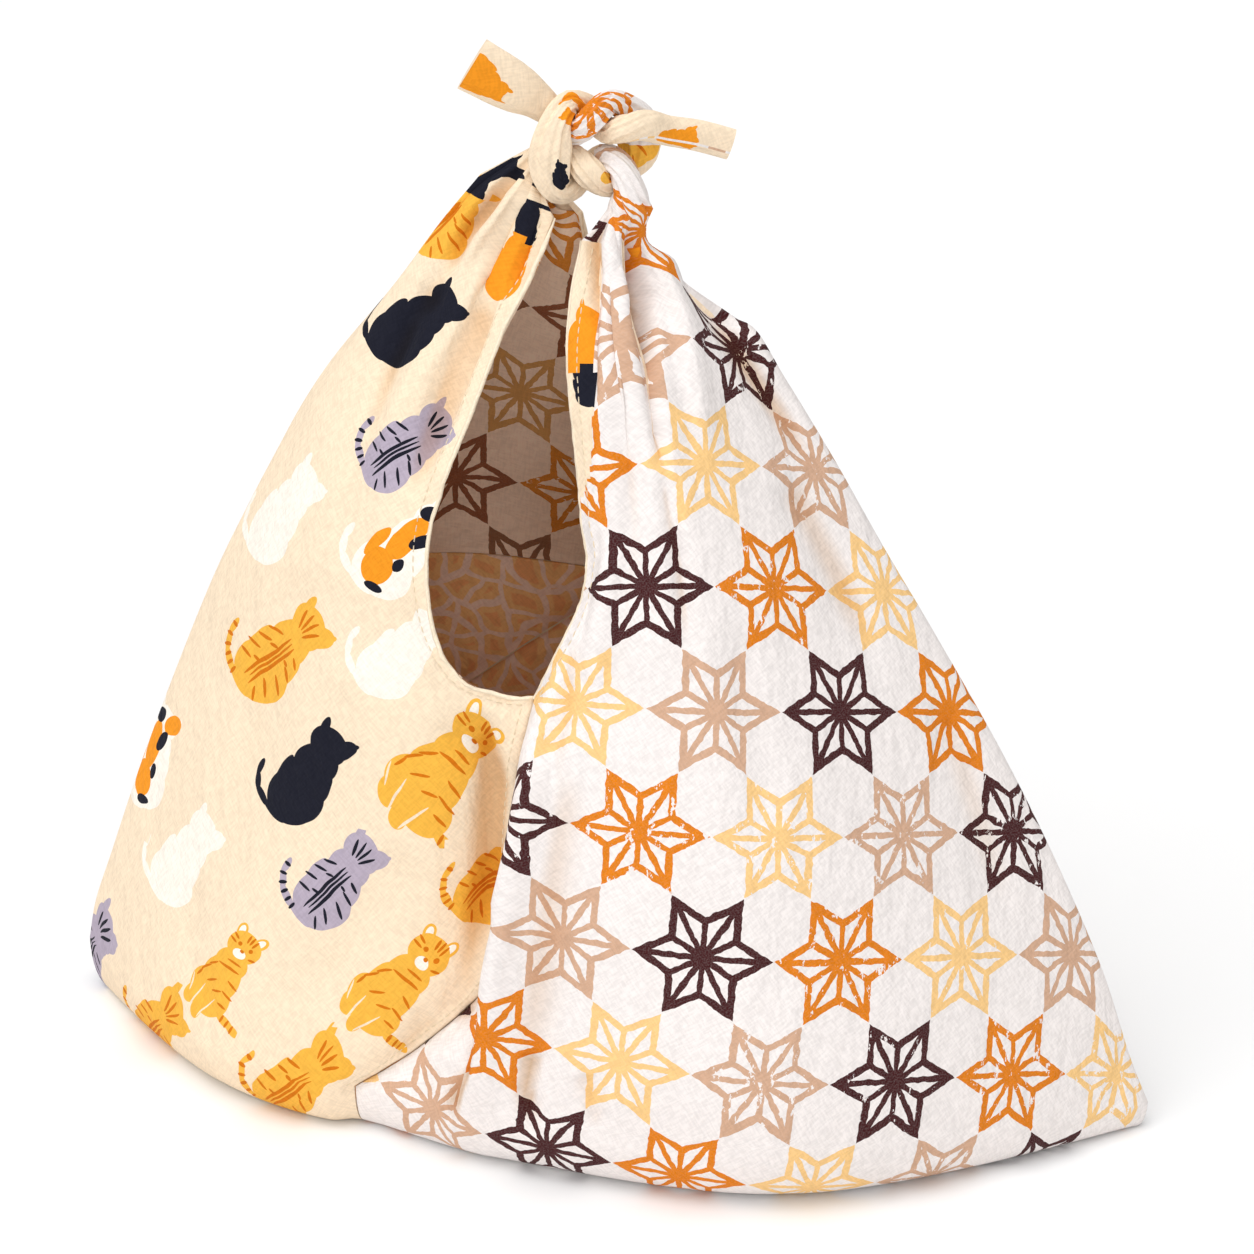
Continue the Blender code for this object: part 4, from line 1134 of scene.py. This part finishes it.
# A cat sitting with its back to us, head up: x, y, half width, half height, turn in degrees.
AWAY_BODY = [
    (0.8, -6.2, 8.6, 7.6, 10), (0.4, -1.5, 7.6, 8.6, 0), (-0.2, 5, 6.2, 6.2, 0),
    (-0.6, 11.3, 6.1, 4.6, -22), (-4.5, 14.6, 1.25, 3.5, 20), (3.7, 13.2, 1.25, 3.5, -38)]
AWAY_TAIL = [
    (-1.4, -12.9, 4.8, 1.3, -4), (-7.4, -12.4, 3.4, 1.2, -14), (-11.4, -10.2, 3.0, 1.05, -46),
    (-13.4, -6.8, 1.0, 2.6, 12)]
AWAY_STRIPES = [
    (-1.2, -2.4, 0.55, 8.2, -3), (0.1, -2.2, 0.4, 7.6, -3), (1.4, -3.0, 0.55, 8.2, -3),
    (-5.2, 3.4, 2.2, 0.42, 24), (-5.8, 0.2, 2.0, 0.42, 20), (-6.2, -3.2, 2.2, 0.42, 14),
    (-5.6, -6.8, 2.2, 0.42, 8), (-2.6, 0.6, 1.2, 0.4, 18), (-2.4, -5.2, 1.2, 0.4, 10),
    (5.0, 2.8, 1.8, 0.42, -26), (5.8, -0.8, 2.2, 0.42, -22), (6.2, -4.6, 2.6, 0.42, -26),
    (4.6, -8.2, 2.4, 0.42, -34), (3.2, 0.6, 1.0, 0.4, -16), (3.8, -11.4, 1.8, 0.4, -50),
    (-2.9, 11.4, 0.45, 2.4, 26), (-1.3, 12.0, 0.4, 2.6, 10), (0.3, 11.8, 0.4, 2.5, -8),
    (1.9, 10.8, 0.45, 2.3, -30), (-4.4, -13.0, 0.5, 1.2, 4), (-6.6, -12.6, 0.5, 1.2, -10),
    (-8.8, -12.0, 0.5, 1.2, -20), (-10.8, -10.9, 0.5, 1.3, -40), (-12.5, -9.0, 1.2, 0.5, 30),
    (-13.5, -6.2, 1.1, 0.55, 10)]
AWAY_WARM = [
    (-1.6, 3.8, 3.4, 7.2, 8), (-1.0, -6.6, 4.2, 5.2, 30), (3.4, 12.6, 2.8, 3.6, -35),
    (-6.2, -2.0, 1.6, 5.2, 6)]
AWAY_DARK = [
    (1.6, 6.4, 1.7, 3.4, -18), (-3.4, 12.6, 2.6, 2.2, 20), (2.6, -2.4, 1.2, 2.2, 10),
    (2.2, -11.4, 2.6, 1.2, 14)]

# A cat sitting to face us, leaning back, with the same columns.
FACING_EARS = [(-3.2, 16.7, 1.9, 2.7, 10), (4.5, 16.7, 1.9, 2.7, -20)]
FACING_EAR_HOLLOWS = [(-3.2, 16.8, 1.1, 1.8, 10), (4.4, 16.8, 1.1, 1.8, -20)]
FACING_BODY = [
    (0.6, -8.0, 9.6, 7.4, -8), (0.8, -1.5, 7.8, 8.6, 0), (0.8, 4.6, 6.4, 6.0, 0),
    (0.7, 12.4, 6.3, 5.3, -6), (-4.6, -13.4, 2.6, 3.4, 24), (0.4, -15.2, 2.3, 3.2, 6),
    (11.4, -11.4, 3.4, 1.5, -6), (15.2, -12.0, 2.6, 1.3, -10)]
FACING_GAPS = [(-2.6, -12.6, 0.3, 5.0, 4), (3.0, -13.0, 0.3, 4.6, -14), (-7.2, -10.6, 0.28, 3.0, 30)]
FACING_STRIPES = [
    (-6.2, -2.6, 0.42, 2.4, -30), (-4.6, 0.8, 0.42, 2.2, -38), (-1.6, -4.6, 0.42, 2.4, -46),
    (1.2, 3.4, 4.6, 0.5, 6), (1.8, 6.0, 2.8, 0.42, 4), (6.4, -0.6, 2.4, 0.42, -10),
    (7.0, -4.6, 2.6, 0.42, -4), (7.6, -8.4, 2.0, 0.42, 6), (2.6, -6.0, 2.2, 0.42, 30),
    (-7.2, -6.0, 0.42, 2.0, -8), (-3.9, 12.6, 1.7, 0.42, -10), (-3.7, 14.4, 1.5, 0.42, -20),
    (2.0, 16.0, 0.42, 1.6, -6), (3.4, 15.6, 0.42, 1.6, -16), (0.7, 15.9, 0.42, 1.5, 6),
    (5.6, 10.4, 1.3, 0.42, 14), (10.4, -11.4, 0.45, 1.5, 4), (12.6, -11.6, 0.45, 1.5, 2),
    (14.8, -12.0, 0.45, 1.4, 0)]
FACING_MUZZLE = [(0.9, 9.7, 2.3, 1.7, 0)]
FACING_NOSE = [(1.0, 11.0, 0.75, 0.55, 0), (-1.1, 12.9, 0.75, 0.75, 0), (3.4, 12.9, 0.75, 0.75, 0)]

# Each cat's layers from the back forward: shapes, and their colour for each dye or none for the ground's.
AWAY_LAYERS = [
    (AWAY_TAIL, CAT_COATS), (AWAY_BODY, CAT_COATS), (AWAY_WARM, CAT_WARM_PATCHES),
    (AWAY_DARK, CAT_DARK_PATCHES), (AWAY_STRIPES, CAT_STRIPES)]
FACING_LAYERS = [
    (FACING_EARS, CAT_COATS), (FACING_EAR_HOLLOWS, PALE), (FACING_BODY, CAT_COATS), (FACING_GAPS, None),
    (FACING_STRIPES, CAT_STRIPES), (FACING_MUZZLE, PALE), (FACING_NOSE, CAT_STRIPES)]

# The studio: a pale floor just below the bag, an even sky, and three soft suns with columns: name, where
# it shines from, how wide it is in degrees, strength.
FLOOR_COLOUR = (0.93, 0.93, 0.93, 1)
FLOOR_REACH = 6.0
FLOOR_DROP = 0.0004
FLOOR_GRAIN = 40.0
FLOOR_ROUGHNESS = (0.3, 0.7, 0.85, 0.95)
SKY_COLOUR = (1, 1, 1, 1)
SKY_STRENGTH = 0.42
SUNS = [
    ("key", (-0.8, -0.7, 1.1), 55, 1.0), ("top", (-0.1, -0.1, 1.0), 50, 1.3),
    ("fill", (0.1, -1.0, 0.45), 30, 0.6)]


class Nodes:
    """Short ways to build one material's nodes."""

    def __init__(self, name):
        self.material = bpy.data.materials.new(name)
        self.material.use_nodes = True
        self.tree = self.material.node_tree
        self.shader = self.tree.nodes["Principled BSDF"]

    def node(self, kind, inputs=(), **settings):
        node = self.tree.nodes.new("ShaderNode" + kind)
        for key, value in settings.items():
            setattr(node, key, value)
        for key, value in dict(inputs).items():
            self.put(node.inputs[key], value)
        return node

    def put(self, socket, value):
        if isinstance(value, bpy.types.NodeSocket):
            self.tree.links.new(value, socket)
        else:
            socket.default_value = value

    def shade(self, name, value):
        self.put(self.shader.inputs[name], value)

    def math(self, operation, *values):
        return self.node("Math", dict(enumerate(values)), operation=operation).outputs[0]

    def vector(self, operation, *values):
        node = self.node("VectorMath", dict(enumerate(values)), operation=operation)
        return node.outputs["Value" if operation in ("LENGTH", "DOT_PRODUCT") else "Vector"]

    def split(self, vector):
        return self.node("SeparateXYZ", {0: vector}).outputs

    def place(self, layer):
        return self.node("UVMap", uv_map=layer).outputs["UV"]

    def turned(self, place, location, turn, scale):
        """A place as seen from a frame that is moved, turned about Z and scaled."""
        inputs = {"Vector": place, "Location": location, "Rotation": (0, 0, turn), "Scale": scale}
        return self.node("Mapping", inputs, vector_type="TEXTURE").outputs[0]

    def mix(self, part, one, two):
        node = self.node("Mix", data_type="RGBA")
        self.put(node.inputs["Factor"], part)
        self.put(node.inputs["A"], one)
        self.put(node.inputs["B"], two)
        return node.outputs["Result"]

    def noise(self, at, scale, detail=2.0, rough=0.5):
        inputs = {"Vector": at, "Scale": scale, "Detail": detail, "Roughness": rough}
        return self.node("TexNoise", inputs).outputs["Fac"]

    def wobbled(self, place, at, scale, reach):
        """A place that soft noise moves either way by up to half of this reach."""
        noise = self.node("TexNoise", {"Vector": at, "Scale": scale, "Detail": 1.0}).outputs["Color"]
        either_way = self.vector("SUBTRACT", noise, (0.5, 0.5, 0.5))
        return self.vector("ADD", place, self.vector("MULTIPLY", either_way, (reach, reach, 0.0)))

    def span(self, value, low, high, to_low=0.0, to_high=1.0):
        inputs = {"Value": value, "From Min": low, "From Max": high, "To Min": to_low, "To Max": to_high}
        return self.node("MapRange", inputs, interpolation_type="SMOOTHSTEP").outputs[0]

    def pick(self, number, colours):
        """One of several colours, by a whole number from 0."""
        ramp = self.node("ValToRGB")
        ramp.color_ramp.interpolation = "CONSTANT"
        stops = ramp.color_ramp.elements
        for k, colour in enumerate(colours):
            stop = stops[k] if k < 2 else stops.new(k / len(colours))
            stop.position = k / len(colours)
            stop.color = (*colour, 1)
        self.put(ramp.inputs[0], self.math("DIVIDE", self.math("ADD", number, 0.5), float(len(colours))))
        return ramp.outputs["Color"]


def cotton(name, draw, *colours):
    """Fine crepe cotton: its threads tint the colour drawn on it a little and lift the surface; shade is
    painted into its folds.
    """
    nodes = Nodes(name)
    place = nodes.place("cloth")
    colour = draw(nodes, place, *colours)
    threads = [nodes.noise(nodes.turned(place, (0, 0, 0), turn, WEAVE_STRETCH), WEAVE_SCALE, 1.0)
               for turn in (WEAVE_TURN, WEAVE_TURN + math.pi / 2)]
    cross = nodes.math("ADD", *threads)
    slub = nodes.noise(place, SLUB_SCALE, 3.0, 0.6)
    soft = nodes.noise(place, SOFT_SCALE, 2.0)
    tint = nodes.math("MULTIPLY", nodes.span(cross, *WEAVE_TINT), nodes.span(slub, *SLUB_TINT))
    tint = nodes.math("MULTIPLY", tint, nodes.span(soft, *SOFT_TINT))
    grey = nodes.node("CombineXYZ", {0: tint, 1: tint, 2: tint}).outputs[0]
    shaded = nodes.vector("MULTIPLY", colour, grey)
    # Painted shade: the colour is darkened toward tan where the fold layer says the cloth lies deep in a
    # fold.
    deep = nodes.split(nodes.place("fold"))[0]
    shaded = nodes.vector("MULTIPLY", shaded, nodes.mix(deep, (1, 1, 1, 1), PAINTED_FOLD_SHADE))
    crumpled = nodes.noise(nodes.vector("MULTIPLY", place, CRUMPLE_STRETCH), CRUMPLE_SCALE, 3.0, 0.6)
    height = nodes.math("MULTIPLY", cross, WEAVE_HEIGHT)
    for bumps, share in ((slub, SLUB_HEIGHT), (crumpled, CRUMPLE_HEIGHT)):
        height = nodes.math("ADD", height, nodes.math("MULTIPLY", bumps, share))
    inputs = {"Strength": BUMP_STRENGTH, "Distance": BUMP_DEPTH, "Height": height}
    nodes.shade("Normal", nodes.node("Bump", inputs).outputs[0])
    nodes.shade("Base Color", shaded)
    nodes.shade("Roughness", nodes.span(cross, *WEAVE_ROUGHNESS))
    nodes.shade("Sheen Weight", 0.02)
    nodes.shade("Sheen Roughness", 0.5)
    nodes.shade("Specular IOR Level", 0.06)
    return nodes.material


def plain(nodes, place, colour):
    return colour


def star_print(nodes, place, ground, inks):
    """Six-pointed stars set tip to tip on a lattice, each in one of four inks, over a plain ground."""
    bent = nodes.wobbled(place, place, *STAR_WOBBLE)
    half = (STAR_PITCH / 2, STAR_PITCH * math.sqrt(3) / 2, 0.5)
    low = tuple(-v for v in half)
    one = nodes.vector("WRAP", bent, half, low)
    moved = nodes.vector("SUBTRACT", bent, (half[0], half[1], 0.0))
    two = nodes.vector("WRAP", moved, half, low)
    nearer = nodes.math("LESS_THAN", nodes.vector("LENGTH", two), nodes.vector("LENGTH", one))
    chosen = nodes.node("Mix", data_type="VECTOR")
    for key, value in (("Factor", nearer), ("A", one), ("B", two)):
        nodes.put([s for s in chosen.inputs if s.name == key and s.enabled][0], value)
    local = [s for s in chosen.outputs if s.enabled][0]
    middle = nodes.vector("SUBTRACT", bent, local)
    centre = nodes.split(middle)
    row = nodes.math("ROUND", nodes.math("DIVIDE", centre[1], half[1]))
    across = nodes.math("DIVIDE", centre[0], STAR_PITCH)
    column = nodes.math("ROUND", nodes.math("ADD", across, nodes.math("MULTIPLY", row, 0.5)))
    ink = nodes.math("FLOORED_MODULO", nodes.math("ADD", column, row), float(len(inks)))
    away = nodes.split(local)
    angle = nodes.math("ARCTAN2", away[1], away[0])
    radius = nodes.vector("LENGTH", local)
    folded = nodes.math("ABSOLUTE", nodes.math("WRAP", angle, math.pi / 6, -math.pi / 6))
    x = nodes.math("MULTIPLY", radius, nodes.math("COSINE", folded))
    y = nodes.math("MULTIPLY", radius, nodes.math("SINE", folded))
    high = nodes.math("MULTIPLY", y, math.sqrt(0.75))
    from_edge = nodes.math("SUBTRACT", (STAR_PITCH - STAR_GAP) / 4,
                           nodes.math("ADD", nodes.math("MULTIPLY", x, 0.5), high))
    off_line = nodes.math("ABSOLUTE", nodes.math("SUBTRACT", from_edge, STAR_LINE / 2))
    outline = nodes.math("LESS_THAN", off_line, STAR_LINE / 2)
    to_notch = nodes.math("ABSOLUTE", nodes.math("ADD", nodes.math("MULTIPLY", x, -0.5), high))
    arms = nodes.math("LESS_THAN", nodes.math("MINIMUM", y, to_notch), STAR_LINE * STAR_ARM)
    arms = nodes.math("MAXIMUM", arms, nodes.math("LESS_THAN", radius, STAR_HEART))
    arms = nodes.math("MULTIPLY", arms, nodes.math("GREATER_THAN", from_edge, 0.0))
    mark = nodes.math("MAXIMUM", outline, arms)
    seed = nodes.vector("SNAP", nodes.vector("ADD", middle, INK_SEED), SEED_STEP)
    chance = nodes.node("TexWhiteNoise", {"Vector": seed}, noise_dimensions="3D").outputs["Value"]
    rubbed = nodes.noise(nodes.vector("MULTIPLY", place, RUB_STRETCH), RUB_SCALE, 4.0, 0.7)
    kept = nodes.math("LESS_THAN", rubbed, nodes.span(chance, *RUB_LIMIT))
    mark = nodes.math("MULTIPLY", mark, kept)
    strength = nodes.math("MULTIPLY", mark, nodes.span(nodes.noise(place, GRAIN_SCALE), *GRAIN_STRENGTH))
    return nodes.mix(strength, (*ground, 1), nodes.pick(ink, inks))


def leaf_print(nodes, place, *colours):
    """Small rounded leaves with pale gaps between them, crossed by rings of pale stems."""
    ground, leaf, vein = [(*colour, 1) for colour in colours]
    bent = place
    for scale, reach in LEAF_WOBBLES:
        bent = nodes.wobbled(bent, place, scale, reach)
    cells = nodes.node("TexVoronoi", {"Vector": bent, "Scale": LEAF_SCALE, "Randomness": LEAF_UNLIKE},
                       feature="DISTANCE_TO_EDGE", voronoi_dimensions="2D").outputs["Distance"]
    shown = nodes.mix(nodes.span(cells, *LEAF_VEIN), vein, leaf)
    shown = nodes.mix(nodes.span(cells, *LEAF_BODY), shown, ground)
    half = (LEAF_PITCH / 2, LEAF_PITCH / 2, 0.5)
    local = nodes.vector("WRAP", bent, half, tuple(-v for v in half))
    off_ring = nodes.math("SUBTRACT", nodes.vector("LENGTH", local), LEAF_PITCH * LEAF_RING)
    return nodes.mix(nodes.span(nodes.math("ABSOLUTE", off_ring), *RING_EDGE), vein, shown)


def blot(nodes, place, shapes):
    """1 inside any of several ellipses, with columns: x, y, half width, half height, turn in degrees."""
    nearest = None
    for x, y, half_width, half_height, turn in shapes:
        inside = nodes.turned(place, (x, y, 0), math.radians(turn), (half_width, half_height, 1))
        reach = nodes.vector("LENGTH", inside)
        nearest = reach if nearest is None else nodes.math("MINIMUM", nearest, reach)
    return nodes.math("LESS_THAN", nearest, 1.0)


def cat_print(nodes, place, ground, layers):
    """A small cat, dyed in one of several ways, over a plain ground."""
    ground = (*ground, 1)
    dye = nodes.split(nodes.place("kind"))[1]
    motif = nodes.wobbled(nodes.place("motif"), place, *CAT_WOBBLE)
    shown = ground
    for shapes, dyes in layers:
        colour = ground if dyes is None else nodes.pick(dye, dyes)
        mask = blot(nodes, motif, shapes)
        if dyes is CAT_STRIPES or shapes is AWAY_TAIL:
            dyed = STRIPED_DYES if dyes is CAT_STRIPES else TAILED_DYES
            mask = nodes.math("MULTIPLY", mask, nodes.math("LESS_THAN", dye, dyed - 0.5))
        shown = nodes.mix(mask, shown, colour)
    return shown


def aimed(name, data, place, target):
    """A camera or a light set in the scene, looking at a target."""
    placed = bpy.data.objects.new(name, data)
    placed.location = place
    placed.rotation_euler = (target - place).to_track_quat("-Z", "Y").to_euler()
    bpy.context.collection.objects.link(placed)
    return placed


def make_camera():
    camera = bpy.data.cameras.new("camera")
    camera.sensor_width = SENSOR_WIDTH
    camera.lens = SENSOR_WIDTH * FOCAL_PIXELS / PICTURE
    camera.shift_x = (PICTURE / 2 - PICTURE_MIDDLE[0]) / PICTURE
    place, target = (Vector((in_bag(np.array(point, float)) - (*ORIGIN, 0)) * MM)
                     for point in (CAMERA_PLACE, CAMERA_TARGET))
    bpy.context.scene.camera = aimed("camera", camera, place, target)


def make_studio():
    nodes = Nodes("studio_floor")
    nodes.shade("Base Color", FLOOR_COLOUR)
    grain = nodes.noise(nodes.node("TexCoord").outputs["Object"], FLOOR_GRAIN)
    nodes.shade("Roughness", nodes.span(grain, *FLOOR_ROUGHNESS))
    mesh = bpy.data.meshes.new("floor")
    corners = [(x * FLOOR_REACH, y * FLOOR_REACH, 0) for x, y in ((-1, -1), (1, -1), (1, 1), (-1, 1))]
    mesh.from_pydata(corners, [], [(0, 1, 2, 3)])
    mesh.materials.append(nodes.material)
    floor = bpy.data.objects.new("floor", mesh)
    floor.location.z = -FLOOR_DROP
    bpy.context.collection.objects.link(floor)
    world = bpy.data.worlds.new("studio")
    world.use_nodes = True
    sky = world.node_tree.nodes["Background"]
    sky.inputs[0].default_value = SKY_COLOUR
    sky.inputs[1].default_value = SKY_STRENGTH
    bpy.context.scene.world = world
    for name, place, angle, power in SUNS:
        light = bpy.data.lights.new(name, "SUN")
        light.angle = math.radians(angle)
        light.energy = power
        aimed(name, light, Vector(in_bag(np.array(place, float))), Vector((0, 0, 0)))
    bpy.context.scene.view_settings.view_transform = "Standard"
    bpy.context.scene.view_settings.look = "None"


def build():
    cat = Cloth(cat_lines, CAT_COLUMNS, CAT_TURN_UNDER, CAT_PLEATS, CAT_CREASES, FINE_TURN, -1,
                CAT_DRAWN_IN)
    star = Cloth(star_lines, STAR_COLUMNS, STAR_TURN_UNDER, STAR_PLEATS, STAR_CREASES, MOUTH, 1,
                 STAR_DRAWN_IN)
    join(star, cat)
    star.set_flat(*STAR_ROW)
    cat.set_flat(*CAT_ROW)
    cream = cotton("cream_cotton", plain, CREAM)
    cats = [cotton("cat_cotton_away", cat_print, CAT_GROUND, AWAY_LAYERS),
            cotton("cat_cotton_facing", cat_print, CAT_GROUND, FACING_LAYERS)]
    stars = cotton("star_cotton", star_print, STAR_GROUND, STAR_INKS)
    star_cloth = make_star_panel(star, cat, [stars] + cats)
    cat_cloth = make_cat_panel(cat, cats + [stars])
    thread = cotton("thread", plain, THREAD)
    for name, cloth, first_row, node in (("cat_stitches", cat, FINE_TURN, "cat_panel"),
                                         ("star_stitches", star, MOUTH, "star_panel")):
        make_stitches(name, cloth, first_row, [thread])
    lining = cotton("star_lining_cotton", star_print, LINING_GROUND, LINING_INKS)
    left = make_horn_lining("star_lining", cat, [lining])
    right_cells = print_cells(star.grid, star.flat, STRAND_MARKS, True)
    right = make_horn_lining("cat_lining", star, cats, right_cells)
    for name, cloth, node in (("star_lining_edge", cat, "left_lining"),
                              ("cat_lining_edge", star, "right_lining")):
        for column, side in ((0, "front"), (-1, "back")):
            make_edge_roll(f"{name}_{side}", cloth, column, [cream])
    base = make_base_lining(star, cat, [cotton("leaf_cotton", leaf_print, *LEAF_COLOURS)])
    for piece, node in ((star_cloth, "star_panel"), (cat_cloth, "cat_panel"), (left, "left_lining"),
                        (right, "right_lining"), (base, "base_lining")):
        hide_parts(node)


make_camera()
make_studio()
build()
